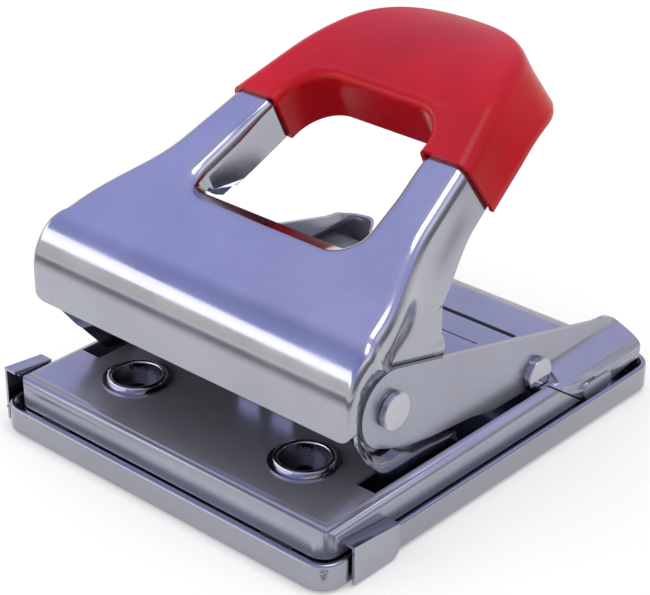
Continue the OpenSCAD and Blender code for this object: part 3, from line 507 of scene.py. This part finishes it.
# Side outlines in (y, z): the inner walls with their lobes, and what is hollow between them
WALL_OUTLINE = [
    (34.6, 27), (36.4, 24), (40, 21.4), (46, 18.8), (54, 17.8), (75, 18.6), (91, 20.2),
    (94.2, 21.4), (94.6, 23.4), (93, 27), (87, 35.5), (80, 43.5), (75.2, 50.5), (73.4, 57),
    (73.4, 70.4), (67.5, 67.9), (49.2, 60.8), (40, 58), (31, 62), (22, 62), (19, 50)]
HOLLOW_OUTLINE = [
    (NOSE_Y + 4, 0), (110, 0), (110, 60), (73.4, 67), (49.2, 60.8), (40, 60), (31, 64),
    (NOSE_Y + 4, 64)]


def box_points(x0, x1, y0, y1, z0, z1):
    """The corners of a box."""
    return [(x, y, z) for x in (x0, x1) for y in (y0, y1) for z in (z0, z1)]


# Lobe under the ear: centre, radius, lean, then the length and end height of its tail
LOBE_Y, LOBE_Z, LOBE_R, LOBE_LEAN = 47.5, 32.3, 14.2, 0.29
LOBE_TAIL, LOBE_END = 31, 4
# The hollow's lobe is carried on forwards and downwards by this much, so that it stays open
LOBE_FORWARD, LOBE_DOWN = 4, 3
# The cheeks are filled from this half width outwards
CHEEK_IN = 50
# Rounded lower corner of a cheek: inset from the nose's side, and height
CORNER_IN, CORNER_DEEP = 6, 24
CHEEK_CORNER = [(0, 54), (0.8, 50.9), (2.6, 48.8), (CORNER_IN, NOSE_Z), (CORNER_DEEP, NOSE_Z),
                (CORNER_DEEP, 54)]
# A cheek's front and back, counted from the nose's front face
CHEEK_FRONT, CHEEK_BACK = 2.5, 17.5
# Heights of its front edge and of the part behind it, counted from the nose's lower edge
CHEEK_LOW, EDGE_HIGH, CHEEK_HIGH = 6, 10, 14
# Rear part of the cheek as boxes (y0, y1, z0, z1): at the nose's side, and at the wall
CHEEK_REAR, CHEEK_WALL = (30, 31, 44, 68), (44, 45, 56, 68)
# Where the nose's open end stands round the pivot: angle and distance at the sheet's edge
END_RIM = [
    (-90, 15.6), (-60, 15.6), (0, 17), (45, 18), (68, 20), (85.7, 20.2), (102, 21.5),
    (112.8, 24.5), (120, 28.9), (125.5, 31.8), (131.8, 33.6), (138.6, 33.8), (146.6, 32.4),
    (155, 30.6), (165.8, 28.4), (175.8, 27.1), (190, 26.5), (205, 25), (225, 22), (245, 18),
    (270, 15.6)]
# The room for the ear is round at the wall and widens to END_RIM at half width ROOM_FAR:
# it has the given share of that at ROOM_NEAR from the wall
ROOM_NEAR, ROOM_SHARE, ROOM_FAR, ROOM_OUT = 2.4, 0.06, 75.0, 6
# Degrees in a step round it, the slope of its top behind the pivot, and its rear end
ROOM_STEP, ROOM_SLOPE, ROOM_BACK = 2.5, 10, 100
# Underside of the room behind the pivot, in (y, z)
ROOM_UNDER = [(ROOM_BACK, 18.6), (88, 21.2), (66.7, 23.4), (54, 25.6), (46, 29)]
SLAB_OUT = 5
# Round corner of the front skirt: radius and step, and how far its cutter overlaps
CORNER_R, CORNER_STEP, CORNER_OVER, CORNER_BACK = 6.0, 7.5, 3, 3.5


def lobe_points(y, z, g):
    """The lobe under the ear: a smooth face that leans out towards its lower edge."""
    end = y + LOBE_TAIL
    rim = disc_outline(y, z, LOBE_R + g) + [(end, z - LOBE_R - g), (end, z - LOBE_R + LOBE_END)]
    return ([(WALL_X + g + LOBE_LEAN * max(0, LOBE_Z - b), a, b) for a, b in rim]
            + [(CHEEK_IN, a, b) for a, b in rim])


def cheek_forms(s, g):
    """The filled parts of the cheek on side s, grown by g; a hollow is open below and in front."""
    x, y = NOSE_X + g, NOSE_Y - g
    front, back, low = y + CHEEK_FRONT, y + CHEEK_BACK, NOSE_Z + CHEEK_LOW
    lobe = [(x - dx, py, z) for dx, z in CHEEK_CORNER for py in (front, back)]
    lobe += lobe_points(LOBE_Y, LOBE_Z, g)
    if g < 0:
        lobe += [(x - dx, y - 3, NOSE_Z - 5) for dx in (CORNER_IN, CORNER_DEEP)]
        lobe += lobe_points(LOBE_Y - LOBE_FORWARD, LOBE_Z - LOBE_DOWN, g)
    y0, y1, z0, z1 = CHEEK_WALL
    parts = [
        box_points(CHEEK_IN, x - 2, y, y + 1, low, NOSE_Z + EDGE_HIGH)
        + box_points(CHEEK_IN, x, front, back - 1, low, NOSE_Z + CHEEK_HIGH),
        lobe,
        box_points(CHEEK_IN, x, *CHEEK_REAR)
        + box_points(CHEEK_IN, WALL_X + 1 + g, y0 + g, y1 + g, z0, z1),
    ]
    return [hull(f"cheek{i}", [(s * px, py, pz) for px, py, pz in pts])
            for i, pts in enumerate(parts)]


def end_reach(angle):
    """Distance of the nose's open end from the pivot at an angle."""
    for (a0, r0), (a1, r1) in zip(END_RIM, END_RIM[1:]):
        if angle <= a1:
            return r0 + (r1 - r0) * ease((angle - a0) / (a1 - a0))
    return END_RIM[-1][1]


def ear_rooms(s, g):
    """Room for the ear on side s: a mouth that widens to the nose's end, and a slab behind it."""
    r = EAR_R + EAR_ROOM
    py, pz = PIVOT
    near = WALL_X + ROOM_GAP - g
    loops = []
    for x, share in ((near, 0), (WALL_X + ROOM_NEAR - g, ROOM_SHARE), (ROOM_FAR, 1),
                     (NOSE_X + ROOM_OUT, 1)):
        loop = []
        for i in range(round(360 / ROOM_STEP)):
            a = -90 + ROOM_STEP * i
            reach = r + g + (end_reach(a) - r) * share
            loop.append((s * x, py + reach * cos(a), pz + reach * sin(a)))
        loops.append(loop)
    top_y, top_z = py - (r + g) * sin(ROOM_SLOPE), pz + (r + g) * cos(ROOM_SLOPE)
    slab = [(top_y, top_z), (ROOM_BACK, top_z + tan(ROOM_SLOPE) * (ROOM_BACK - top_y))]
    slab += [(y, z - g) for y, z in ROOM_UNDER]
    return [loft("room_end", loops), plate("room_slab", s * near, s * (NOSE_X + SLAB_OUT), slab)]


def skirt_corner(s):
    """What is cut off the lower corner of the nose's front skirt on side s."""
    x, z = NOSE_X - CORNER_R, NOSE_Z + CORNER_R
    low = NOSE_Z - CORNER_OVER
    outline = [(x + CORNER_R * cos(a), z + CORNER_R * sin(a)) for a in span(-90, 0, CORNER_STEP)]
    outline += [(NOSE_X + CORNER_OVER, z), (NOSE_X + CORNER_OVER, low), (x, low)]
    return loft("skirt_corner", [[(s * px, y, pz) for px, pz in outline]
                                 for y in (NOSE_Y - CORNER_OVER, NOSE_Y + CORNER_BACK)])


def build_lever():
    """The lever pressing: nose, cheeks, arms, inner walls and the rolled finger opening."""
    lever = cap_form("lever_sheet", 0, 0)
    combine(lever, plate("inner", -WALL_X, WALL_X, WALL_OUTLINE), "UNION")
    for s in (-1, 1):
        for part in cheek_forms(s, 0):
            combine(lever, part, "UNION")
    hollow = cap_form("hollow", -LEVER_T, HOLLOW_MORE)
    combine(hollow, plate("inner_hollow", -WALL_X + WALL_T, WALL_X - WALL_T, HOLLOW_OUTLINE),
            "UNION")
    for s in (-1, 1):
        for part in cheek_forms(s, -LEVER_T):
            combine(hollow, part, "UNION")
        for part in ear_rooms(s, LEVER_T):
            cut_out(hollow, part)
        for part in ear_rooms(s, 0):
            cut_out(lever, part)
    cut_out(lever, hollow)
    for s in (-1, 1):
        cut_out(lever, skirt_corner(s))
    combine(lever, open_solid("opening_ring", rim_under), "UNION")
    cut_out(lever, open_solid("opening_cut", rim_top))
    for s in (-1, 1):
        for y, z, r in LEVER_HOLES:
            inner, outer = s * (WALL_X - HOLE_IN), s * (WALL_X + HOLE_OUT)
            cut_out(lever, plate("hole", inner, outer, disc_outline(y, z, r)))
    smooth(lever, EDGE_ANGLE)
    return lever


# Half widths of the base plate's side and of the ear, and the ear's sheet
SIDE_X, EAR_X, EAR_T = 74.00, 65.3, 1.8
# Bend of the ear's rear end: radius, rear face, lower edge, steps up and round
WRAP_R, WRAP_Y, WRAP_LOW = 9.0, 176.2, 14.4
WRAP_N, WRAP_STEP, WRAP_TURNS = 14, 7.5, 12
# It flares out below this height to just inside the side
FLARE_Z, FLARE_H, FLARE_IN = 27, 10, 1.2
# Top of the bend at its start and end on each side, and the steps over which it falls
WRAP_TOPS = {-1: (28.6, 27.0), 1: (27.6, 20.6)}
WRAP_FALL = 10
# Run along the rear: top at its end, length of a step, steps
RUN_TOP, RUN_STEP, RUN_N = 20.4, 1.6, 4


def ear_wrap(s):
    """The rear end of the ear on side s, carried round the base plate's corner."""
    def rib(turn, run, top):
        outer, inner = [], []
        for i in range(WRAP_N + 1):
            z = WRAP_LOW + (top - WRAP_LOW) * i / WRAP_N
            x = EAR_X + (SIDE_X - FLARE_IN - EAR_X) * ease((FLARE_Z - z) / FLARE_H)
            for side, r in ((outer, WRAP_R), (inner, WRAP_R - EAR_T)):
                side.append((s * (x - WRAP_R + r * cos(turn) - run),
                             WRAP_Y - WRAP_R + r * sin(turn), z))
        return outer + inner[::-1]
    near, far = WRAP_TOPS[s]
    loops = [rib(WRAP_STEP * i, 0, near + (far - near) * ease(i / WRAP_FALL))
             for i in range(WRAP_TURNS + 1)]
    loops += [rib(90, RUN_STEP * i, far + (RUN_TOP - far) * ease(i / RUN_N))
              for i in range(1, RUN_N + 1)]
    return loft("ear_wrap", loops)


def build_grip():
    """The plastic cap over the far end of the lever, with its inner skirt in the opening."""
    shell = top_loops(span(GRIP_Y, GRIP_BACK, GRIP_STEP), GRIP_T, GRIP_H - ARM_DEPTH)
    grip = loft("grip_shell", shell)
    inside = top_loops(span(GRIP_HOLLOW_Y, GRIP_BACK, GRIP_STEP), GRIP_FIT, GRIP_HOLLOW_MORE)
    hollow = loft("grip_hollow", inside)
    keep = plain_steps((-GRIP_IN, -KEEP_ABOVE), (-GRIP_IN, KEEP_BELOW))
    cut_out(hollow, open_solid("inner_keep", keep))
    cut_out(grip, hollow)
    cut_out(grip, open_solid("opening_cut", grip_steps()))
    smooth(grip, EDGE_ANGLE)
    return grip


# ---------------------------------------------------------------- finishes

# A finish goes through its whole range between these values of its noise
NOISE_LOW, NOISE_HIGH = 0.3, 0.7


def add_node(tree, kind, inputs=None, out=0, **settings):
    """Adds a shader node; an input takes a fixed value or another node's socket."""
    node = tree.nodes.new("ShaderNode" + kind)
    for key, value in settings.items():
        setattr(node, key, value)
    for key, value in (inputs or {}).items():
        if isinstance(value, bpy.types.NodeSocket):
            tree.links.new(value, node.inputs[key])
        else:
            node.inputs[key].default_value = value
    return node.outputs[out] if len(node.outputs) else node


def emptied(owner):
    """The node tree of a material or world, with no nodes in it."""
    owner.use_nodes = True
    owner.node_tree.nodes.clear()
    return owner.node_tree


def new_finish(name):
    """A material, its empty tree, and the object coordinates in it."""
    mat = bpy.data.materials.new(name)
    tree = emptied(mat)
    return mat, tree, add_node(tree, "TexCoord", out="Object")


def set_surface(tree, inputs):
    """Gives the tree one principled shader with these inputs."""
    add_node(tree, "OutputMaterial", {"Surface": add_node(tree, "BsdfPrincipled", inputs)})


def noise(tree, vector, scale, detail, rough=0.55, stretch=None, distortion=0.0):
    """Noise over the object, finer by the stretch along each axis."""
    if stretch:
        vector = add_node(tree, "Mapping", {"Vector": vector, "Scale": stretch})
    return add_node(tree, "TexNoise", {"Vector": vector, "Scale": scale, "Detail": detail,
                                       "Roughness": rough, "Distortion": distortion}, "Fac")


def ramp(tree, fac, *stops):
    """A colour along a value, from (position, colour) pairs."""
    node = tree.nodes.new("ShaderNodeValToRGB")
    while len(node.color_ramp.elements) < len(stops):
        node.color_ramp.elements.new(0.5)
    for element, (pos, colour) in zip(node.color_ramp.elements, stops):
        element.position = pos
        element.color = (*colour, 1.0)
    tree.links.new(fac, node.inputs["Fac"])
    return node.outputs["Color"]


def mapped(tree, value, low, high, to_low=0.0, to_high=1.0):
    """A value carried from one range to another, and held at its ends."""
    return add_node(tree, "MapRange", {"Value": value, "From Min": low, "From Max": high,
                                       "To Min": to_low, "To Max": to_high}, "Result")


def scaled(tree, fac, low, high):
    """A noise value carried to the range from low to high."""
    return mapped(tree, fac, NOISE_LOW, NOISE_HIGH, low, high)


def mixed(tree, share, a, b, blend="MIX"):
    """Two colours mixed; the colour sockets of a mix node are its inputs 6 and 7."""
    return add_node(tree, "Mix", {0: share, 6: a, 7: b}, 2, data_type="RGBA", blend_type=blend)


def bumps(tree, *heights):
    """Chained bump maps, each from a height socket, a strength and a distance."""
    normal = None
    for height, strength, distance in heights:
        inputs = {"Height": height, "Strength": strength, "Distance": distance}
        if normal is not None:
            inputs["Normal"] = normal
        normal = add_node(tree, "Bump", inputs)
    return normal


def plated_sheet(name, light, dark, rough, wave=0.10, metal=1.0):
    """Bright plate over pressed sheet: cloudy patches, fine rub marks and a slightly wavy face."""
    mat, tree, where = new_finish(name)
    cloud = noise(tree, where, 28.0, 5.0, 0.6)
    rub = noise(tree, where, 60.0, 6.0, 0.7, stretch=(14.0, 1.0, 3.0))
    worn = {0: scaled(tree, cloud, *rough), 1: scaled(tree, rub, -0.015, 0.02)}
    set_surface(tree, {
        "Metallic": metal,
        "Base Color": ramp(tree, cloud, (0.30, dark), (0.62, light)),
        "Roughness": add_node(tree, "Math", worn, operation="ADD"),
        "Normal": bumps(tree, (noise(tree, where, 22.0, 2.0), wave, 0.0012),
                        (rub, 0.015, 0.0002)),
    })
    return mat


def turned_metal(name, light, dark, rough):
    """Machined steel with fine turning marks and a little grease."""
    mat, tree, where = new_finish(name)
    marks = noise(tree, where, 900.0, 3.0, 0.6, stretch=(1.0, 0.15, 0.15))
    grease = noise(tree, where, 130.0, 4.0, 0.6)
    set_surface(tree, {
        "Metallic": 1.0,
        "Base Color": ramp(tree, grease, (0.32, dark), (0.60, light)),
        "Roughness": scaled(tree, grease, *rough),
        "Normal": bumps(tree, (marks, 0.12, 0.0002)),
    })
    return mat


def oiled_steel_with_painted_shade(name, light, dark):
    """Dark steel, oiled, for the parts in the shade of the lever; its dark colour is partly the
    steel's own and partly painted shade.
    """
    mat, tree, where = new_finish(name)
    scale = noise(tree, where, 90.0, 6.0, 0.65)
    set_surface(tree, {
        "Metallic": 0.9,
        "Base Color": ramp(tree, scale, (0.30, dark), (0.68, light)),
        "Roughness": scaled(tree, scale, 0.30, 0.48),
        "Normal": bumps(tree, (noise(tree, where, 700.0, 3.0), 0.15, 0.0002)),
    })
    return mat


def moulded_red(name, light, dark):
    """Glossy red plastic: faint flow marks, fine specks and hairline scratches."""
    mat, tree, where = new_finish(name)
    flow = noise(tree, where, 14.0, 3.0, 0.5, distortion=0.6)
    hair = noise(tree, where, 45.0, 7.0, 0.75, stretch=(2.0, 16.0, 2.0))
    set_surface(tree, {
        "Specular IOR Level": 0.24,
        "IOR": 1.45,
        "Base Color": ramp(tree, flow, (0.28, dark), (0.66, light)),
        "Roughness": scaled(tree, hair, 0.20, 0.33),
        "Normal": bumps(tree, (noise(tree, where, 420.0, 4.0, 0.6), 0.05, 0.0003),
                        (hair, 0.03, 0.0002)),
    })
    return mat


def dull_rubber(name, light, dark):
    """Matt rubber with a fine grain."""
    mat, tree, where = new_finish(name)
    grain = noise(tree, where, 650.0, 4.0, 0.6)
    set_surface(tree, {
        "Base Color": ramp(tree, grain, (0.30, dark), (0.70, light)),
        "Roughness": scaled(tree, grain, 0.62, 0.85),
        "Normal": bumps(tree, (grain, 0.3, 0.0003)),
    })
    return mat


def set_finish(obj, mat):
    """Gives an object this one material."""
    obj.data.materials.clear()
    obj.data.materials.append(mat)


def node_slot(node):
    """The material slot that the record gives a node."""
    return next(p["material_slot"] for p in frame["record"]["subparts"] if p["node"] == node)


# ---------------------------------------------------------------- sizes and colours for the user

class PunchColours(bpy.types.PropertyGroup):
    sheet: bpy.props.FloatVectorProperty(
        name="Plated sheet", description="Colour of the plated sheet metal", subtype="COLOR",
        size=3, min=0.0, max=1.0, default=(0.40, 0.405, 0.455))
    sheet_shade: bpy.props.FloatVectorProperty(
        name="Cloudy patches", description="Darker colour in the plated sheet", subtype="COLOR",
        size=3, min=0.0, max=1.0, default=(0.35, 0.355, 0.40))
    grip: bpy.props.FloatVectorProperty(
        name="Grip", description="Colour of the plastic grip", subtype="COLOR",
        size=3, min=0.0, max=1.0, default=(0.56, 0.004, 0.010))


class PunchSizes(bpy.types.PropertyGroup):
    wire: bpy.props.FloatProperty(
        name="Spring wire", description="Wire diameter of the return springs",
        default=0.0006, min=0.0005, max=0.0006, unit="LENGTH")
    floor: bpy.props.FloatProperty(
        name="Floor", description="Half width of the floor under the punch",
        default=3.0, min=1.0, max=6.0, unit="LENGTH")


# Material for each slot of the record, and for the sheets in OWN_FINISH
FINISH = {}
# Nodes whose sheet looks unlike the rest of its slot
OWN_FINISH = {"base_plate": "base_sheet", "chip_tray": "tray_sheet"}
# Nodes that another step builds, by the start of their names
BUILT_ANEW = ("lever_shell", "grip_cap", "return_spring")


def shaded(colour, share):
    """A colour darkened to a share of itself."""
    return tuple(share * v for v in colour)


class PUNCH_OT_finishes(bpy.types.Operator):
    """Makes the finishes and gives each solid its own"""
    bl_idname = "punch.finishes"
    bl_label = "Finishes"

    def execute(self, context):
        c = context.scene.punch_colours
        light, dark = tuple(c.sheet), tuple(c.sheet_shade)
        red = tuple(c.grip)
        FINISH["chrome_sheet"] = plated_sheet("plated sheet", light, dark, (0.10, 0.20))
        FINISH["chrome_trim"] = plated_sheet("bright trim", (0.52, 0.52, 0.57),
                                             (0.43, 0.43, 0.48), (0.07, 0.15), wave=0.03)
        FINISH["steel_pin"] = turned_metal("turned steel", (0.46, 0.46, 0.49),
                                           (0.34, 0.34, 0.36), (0.18, 0.34))
        # its dark colour is partly the steel's own and partly painted shade for the parts under
        # the lever
        FINISH["tool_steel"] = oiled_steel_with_painted_shade("dark steel with painted shade", (0.16, 0.16, 0.18),
                                           (0.07, 0.07, 0.08))
        FINISH["spring_steel"] = turned_metal("spring wire", (0.50, 0.50, 0.53),
                                              (0.34, 0.34, 0.36), (0.20, 0.34))
        FINISH["red_plastic"] = moulded_red("moulded red", red, shaded(red, 0.72))
        FINISH["rubber"] = dull_rubber("rubber", (0.05, 0.05, 0.055), (0.022, 0.022, 0.025))
        FINISH["tray_sheet"] = plated_sheet("tray sheet", shaded(light, 0.86),
                                            shaded(light, 0.80), (0.12, 0.20))
        FINISH["base_sheet"] = plated_sheet("satin sheet", (0.375, 0.38, 0.455),
                                            (0.33, 0.335, 0.40), (0.20, 0.26), wave=0.05,
                                            metal=0.60)
        for name, obj in frame["nodes"].items():
            set_finish(obj, FINISH[node_slot(name)])
        return {"FINISHED"}


def dress(obj, body, slot, node):
    """Gives a piece its finish and body, and puts it in the place of a node."""
    set_finish(obj, FINISH[slot])
    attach(obj, body)
    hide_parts(node)


class PUNCH_OT_lever(bpy.types.Operator):
    """Builds the lever pressing"""
    bl_idname = "punch.lever"
    bl_label = "Lever"

    def execute(self, context):
        dress(build_lever(), "lever", "chrome_sheet", "lever_shell")
        return {"FINISHED"}


class PUNCH_OT_grip(bpy.types.Operator):
    """Builds the grip"""
    bl_idname = "punch.grip"
    bl_label = "Grip"

    def execute(self, context):
        dress(build_grip(), "lever", "red_plastic", "grip_cap")
        return {"FINISHED"}


class PUNCH_OT_sheets(bpy.types.Operator):
    """Refines all other pieces, and carries the ears round the base plate's corners"""
    bl_idname = "punch.sheets"
    bl_label = "Base, tray and small parts"

    def execute(self, context):
        for body, nodes in frame["record"]["behaviour"]["bodies"].items():
            for node in nodes:
                if node.startswith(BUILT_ANEW):
                    continue
                extras = [ear_wrap(-1), ear_wrap(1)] if node == "base_plate" else ()
                piece = refined_copy(node, node + "_sheet", EDGE_ANGLE, extras)
                dress(piece, body, node_slot(node), node)
                if node in OWN_FINISH:
                    set_finish(piece, FINISH[OWN_FINISH[node]])
        return {"FINISHED"}


# Return springs: turns, steps in a turn, sides of the wire and its shading angle
SPRING_TURNS, SPRING_STEPS, WIRE_SIDES, WIRE_ANGLE = 4.5, 48, 14, 50
# The flatter turns at each end, and their share of the height
CLOSE_TURNS, CLOSE_RISE = 0.9, 0.16


def spring_rise(t):
    """Share of the spring's height at a share t of its length."""
    end, rise = CLOSE_TURNS / SPRING_TURNS, CLOSE_RISE
    if t < end:
        return rise * t / end
    if t > 1 - end:
        return 1 - rise * (1 - t) / end
    return rise + (1 - 2 * rise) * (t - end) / (1 - 2 * end)


def build_spring(name, node):
    """A spring as one unbroken tube with close end turns, and the height of its foot."""
    low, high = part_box(node)
    wire = bpy.context.scene.punch_sizes.wire
    radius = (high.x - low.x) / 2 - wire / 2
    centre = Vector(((low.x + high.x) / 2, (low.y + high.y) / 2, 0))
    height = high.z - low.z - wire
    up = Vector((0, 0, 1))
    points, faces = [], []
    count, sides = int(SPRING_TURNS * SPRING_STEPS), WIRE_SIDES
    for j in range(count + 1):
        t = j / count
        a = 2 * math.pi * SPRING_TURNS * t
        mid = centre + Vector((radius * math.cos(a), radius * math.sin(a),
                               low.z + wire / 2 + height * spring_rise(t)))
        out = Vector((math.cos(a), math.sin(a), 0))
        for i in range(sides):
            b = 2 * math.pi * i / sides
            q = mid + wire / 2 * (math.cos(b) * out + math.sin(b) * up)
            points.append((q.x / MM, q.y / MM + FRONT, q.z / MM))
    for j in range(count):
        for i in range(sides):
            n = (i + 1) % sides
            faces.append((j * sides + i, j * sides + n, (j + 1) * sides + n, (j + 1) * sides + i))
    faces.append(tuple(range(sides)))
    faces.append(tuple(count * sides + i for i in reversed(range(sides))))
    obj = new_piece(name, points, faces)
    smooth(obj, WIRE_ANGLE)
    return obj, low.z


class PUNCH_OT_springs(bpy.types.Operator):
    """Winds the two return springs"""
    bl_idname = "punch.springs"
    bl_label = "Springs"

    def execute(self, context):
        for word in ("left", "right"):
            obj, seat = build_spring("spring_" + word, "return_spring_" + word)
            dress(obj, "base", "spring_steel", "return_spring_" + word)
            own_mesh(obj)
        return {"FINISHED"}


# ---------------------------------------------------------------- stage

WHITE = (1.0, 1.0, 1.0)
CREAM = (1.05, 0.99, 0.88)
# Light from outside as metal mirrors it, from straight below at 0 to straight above at 1
HORIZON = ((0.0, WHITE), (0.49, WHITE), (0.51, CREAM), (0.58, CREAM))
SKY_BACK = HORIZON + ((0.70, (0.55, 0.58, 0.98)), (0.86, (0.66, 0.70, 1.30)),
                      (1.0, (0.80, 0.82, 1.20)))
SKY_FRONT = HORIZON + ((0.76, (0.55, 0.59, 1.05)), (0.84, (0.50, 0.54, 1.05)),
                       (0.90, (0.42, 0.46, 0.86)), (1.0, (0.45, 0.48, 0.90)))
SKY_RIGHT = ((0.49, WHITE), (0.505, (0.62, 0.62, 0.66)), (0.54, (0.24, 0.24, 0.26)),
             (0.66, (0.26, 0.26, 0.29)), (0.76, (0.50, 0.51, 0.60)), (0.84, (1.7, 1.7, 1.72)),
             (0.90, (1.3, 1.3, 1.4)), (0.96, (0.62, 0.66, 1.15)))
# Ranges of direction over which the front goes over to the back, and the middle to the right
FRONT_TO_BACK, TO_RIGHT = (-0.28, 0.06), (0.35, 0.70)
# Dark band painted on the floor in front of the object, seen only by rays that metal and glass
# send, in metres, and its shades from far to near; it paints a dark reflection under the nose's
# highlight
MIRROR_ONLY_DARK_BAND_Y = (-0.48, -0.16)
MIRROR_ONLY_DARK_BAND_SHADES = ((0.0, WHITE), (0.22, (0.34, 0.34, 0.35)), (0.72, (0.30, 0.30, 0.31)), (1.0, WHITE))
# Light of the world on matt faces, the floor's colour, and its glow where it is lifted
PLAIN_LIGHT = (0.80, 0.80, 0.80)
FLOOR_COLOUR, FLOOR_LIFT = (0.80, 0.80, 0.80), (0.26, 0.26, 0.26)
# Floor just below the feet, so that the two don't share a plane
FLOOR_Z = -0.0002
# Lamps: place, target, size and power; the strip's mirror image is the band along the nose
LAMPS = {
    "strip": ((-0.72, -0.81, 0.51), (0, 0, 0.06), (1.9, 0.33), 3.7),
    "top": ((0.25, 0.15, 1.3), (0, 0, 0.0), (0.5, 0.5), 3.0),
}
# Camera: place and target in metres, lens and sensor in millimetres, near and far limits
CAMERA_AT, CAMERA_TO = (0.43176, -0.48149, 0.38823), (-0.03911, 0.03859, 0.015)
LENS, SENSOR = 114.6, 36.0
CLIP_NEAR, CLIP_FAR = 0.01, 20


def seen_or_mirrored(tree, with_camera):
    """1 for rays that metal and glass send, and for the camera's own if asked."""
    names = ["Is Glossy Ray", "Is Transmission Ray"] + (["Is Camera Ray"] if with_camera else [])
    rays = [add_node(tree, "LightPath", out=name) for name in names]
    total = rays[0]
    for ray in rays[1:]:
        total = add_node(tree, "Math", {0: total, 1: ray}, operation="MAXIMUM")
    return total


def floor_material(name):
    """Matt pale floor that takes shadows, lifted to white where it is seen or mirrored, with a
    dark band painted in front of the object that only mirrors see.
    """
    mat, tree, where = new_finish(name)
    y = add_node(tree, "SeparateXYZ", {0: where}, "Y")
    # the painted dark band is mirrored as a thin dark line under the nose's highlight, a painted
    # reflection
    mirror_only_dark_band = ramp(tree, mapped(tree, y, *MIRROR_ONLY_DARK_BAND_Y), *MIRROR_ONLY_DARK_BAND_SHADES)
    shade = mixed(tree, seen_or_mirrored(tree, False), (*WHITE, 1), mirror_only_dark_band)
    set_surface(tree, {
        "Roughness": 1.0,
        "Specular IOR Level": 0.0,
        "Base Color": mixed(tree, 1.0, (*FLOOR_COLOUR, 1), shade, "MULTIPLY"),
        "Emission Color": mixed(tree, 1.0, (*FLOOR_LIFT, 1), shade, "MULTIPLY"),
        "Emission Strength": seen_or_mirrored(tree, True),
    })
    return mat


def studio_world(name):
    """Even white light, with a lavender sky and a cream horizon where metal mirrors it."""
    world = bpy.data.worlds.new(name)
    tree = emptied(world)
    where = add_node(tree, "TexCoord", out="Generated")
    x, y, z = (add_node(tree, "SeparateXYZ", {0: where}, axis) for axis in "XYZ")
    height = mapped(tree, z, -1.0, 1.0)
    sky = mixed(tree, mapped(tree, y, *FRONT_TO_BACK), ramp(tree, height, *SKY_FRONT),
                ramp(tree, height, *SKY_BACK))
    sky = mixed(tree, mapped(tree, x, *TO_RIGHT), sky, ramp(tree, height, *SKY_RIGHT))
    plain, mirrored, white = (add_node(tree, "Background", {"Color": colour})
                              for colour in ((*PLAIN_LIGHT, 1), sky, (*WHITE, 1)))
    lit = add_node(tree, "MixShader", {0: seen_or_mirrored(tree, False), 1: plain, 2: mirrored})
    camera_ray = add_node(tree, "LightPath", out="Is Camera Ray")
    seen = add_node(tree, "MixShader", {0: camera_ray, 1: lit, 2: white})
    add_node(tree, "OutputWorld", {"Surface": seen})
    return world


def aimed(name, data, at, to):
    """Puts a lamp or camera at a place, turned to its target."""
    obj = add_object(name, data)
    obj.location = at
    obj.rotation_euler = (Vector(to) - Vector(at)).to_track_quat("-Z", "Y").to_euler()
    return obj


def add_lamp(name, at, to, size, power):
    """A rectangular lamp."""
    data = bpy.data.lights.new(name, "AREA")
    data.shape = "RECTANGLE"
    data.size, data.size_y = size
    data.energy = power
    aimed(name, data, at, to)


class PUNCH_OT_stage(bpy.types.Operator):
    """Sets the floor, the light and the camera"""
    bl_idname = "punch.stage"
    bl_label = "Stage"

    def execute(self, context):
        scene = context.scene
        half = scene.punch_sizes.floor
        bpy.ops.object.select_all(action="DESELECT")
        bpy.ops.mesh.primitive_plane_add(size=2 * half, location=(0, 0, FLOOR_Z))
        floor = context.object
        floor.name = "floor"
        set_finish(floor, floor_material("pale floor"))
        scene.world = studio_world("studio")
        for name, settings in LAMPS.items():
            add_lamp(name, *settings)
        data = bpy.data.cameras.new("camera")
        data.lens, data.sensor_width = LENS, SENSOR
        data.clip_start, data.clip_end = CLIP_NEAR, CLIP_FAR
        scene.camera = aimed("camera", data, CAMERA_AT, CAMERA_TO)
        scene.view_settings.view_transform = "Standard"
        return {"FINISHED"}


class PUNCH_PT_panel(bpy.types.Panel):
    bl_label = "Desk punch"
    bl_idname = "PUNCH_PT_panel"
    bl_space_type = "VIEW_3D"
    bl_region_type = "UI"
    bl_category = "Desk punch"

    def draw(self, context):
        layout = self.layout
        for group in (context.scene.punch_colours, context.scene.punch_sizes):
            for name in group.bl_rna.properties.keys():
                if name not in ("rna_type", "name"):
                    layout.prop(group, name)
        for operator in STEPS:
            layout.operator(operator.bl_idname)


STEPS = (PUNCH_OT_finishes, PUNCH_OT_lever, PUNCH_OT_grip, PUNCH_OT_sheets, PUNCH_OT_springs,
         PUNCH_OT_stage)
CLASSES = (PunchColours, PunchSizes) + STEPS + (PUNCH_PT_panel,)


def register():
    for cls in CLASSES:
        bpy.utils.register_class(cls)
    bpy.types.Scene.punch_colours = bpy.props.PointerProperty(type=PunchColours)
    bpy.types.Scene.punch_sizes = bpy.props.PointerProperty(type=PunchSizes)


def unregister():
    del bpy.types.Scene.punch_sizes
    del bpy.types.Scene.punch_colours
    for cls in reversed(CLASSES):
        bpy.utils.unregister_class(cls)


def main():
    register()
    bpy.ops.punch.finishes()
    bpy.ops.punch.lever()
    bpy.ops.punch.grip()
    bpy.ops.punch.sheets()
    bpy.ops.punch.springs()
    bpy.ops.punch.stage()


if __name__ == "__main__":
    main()
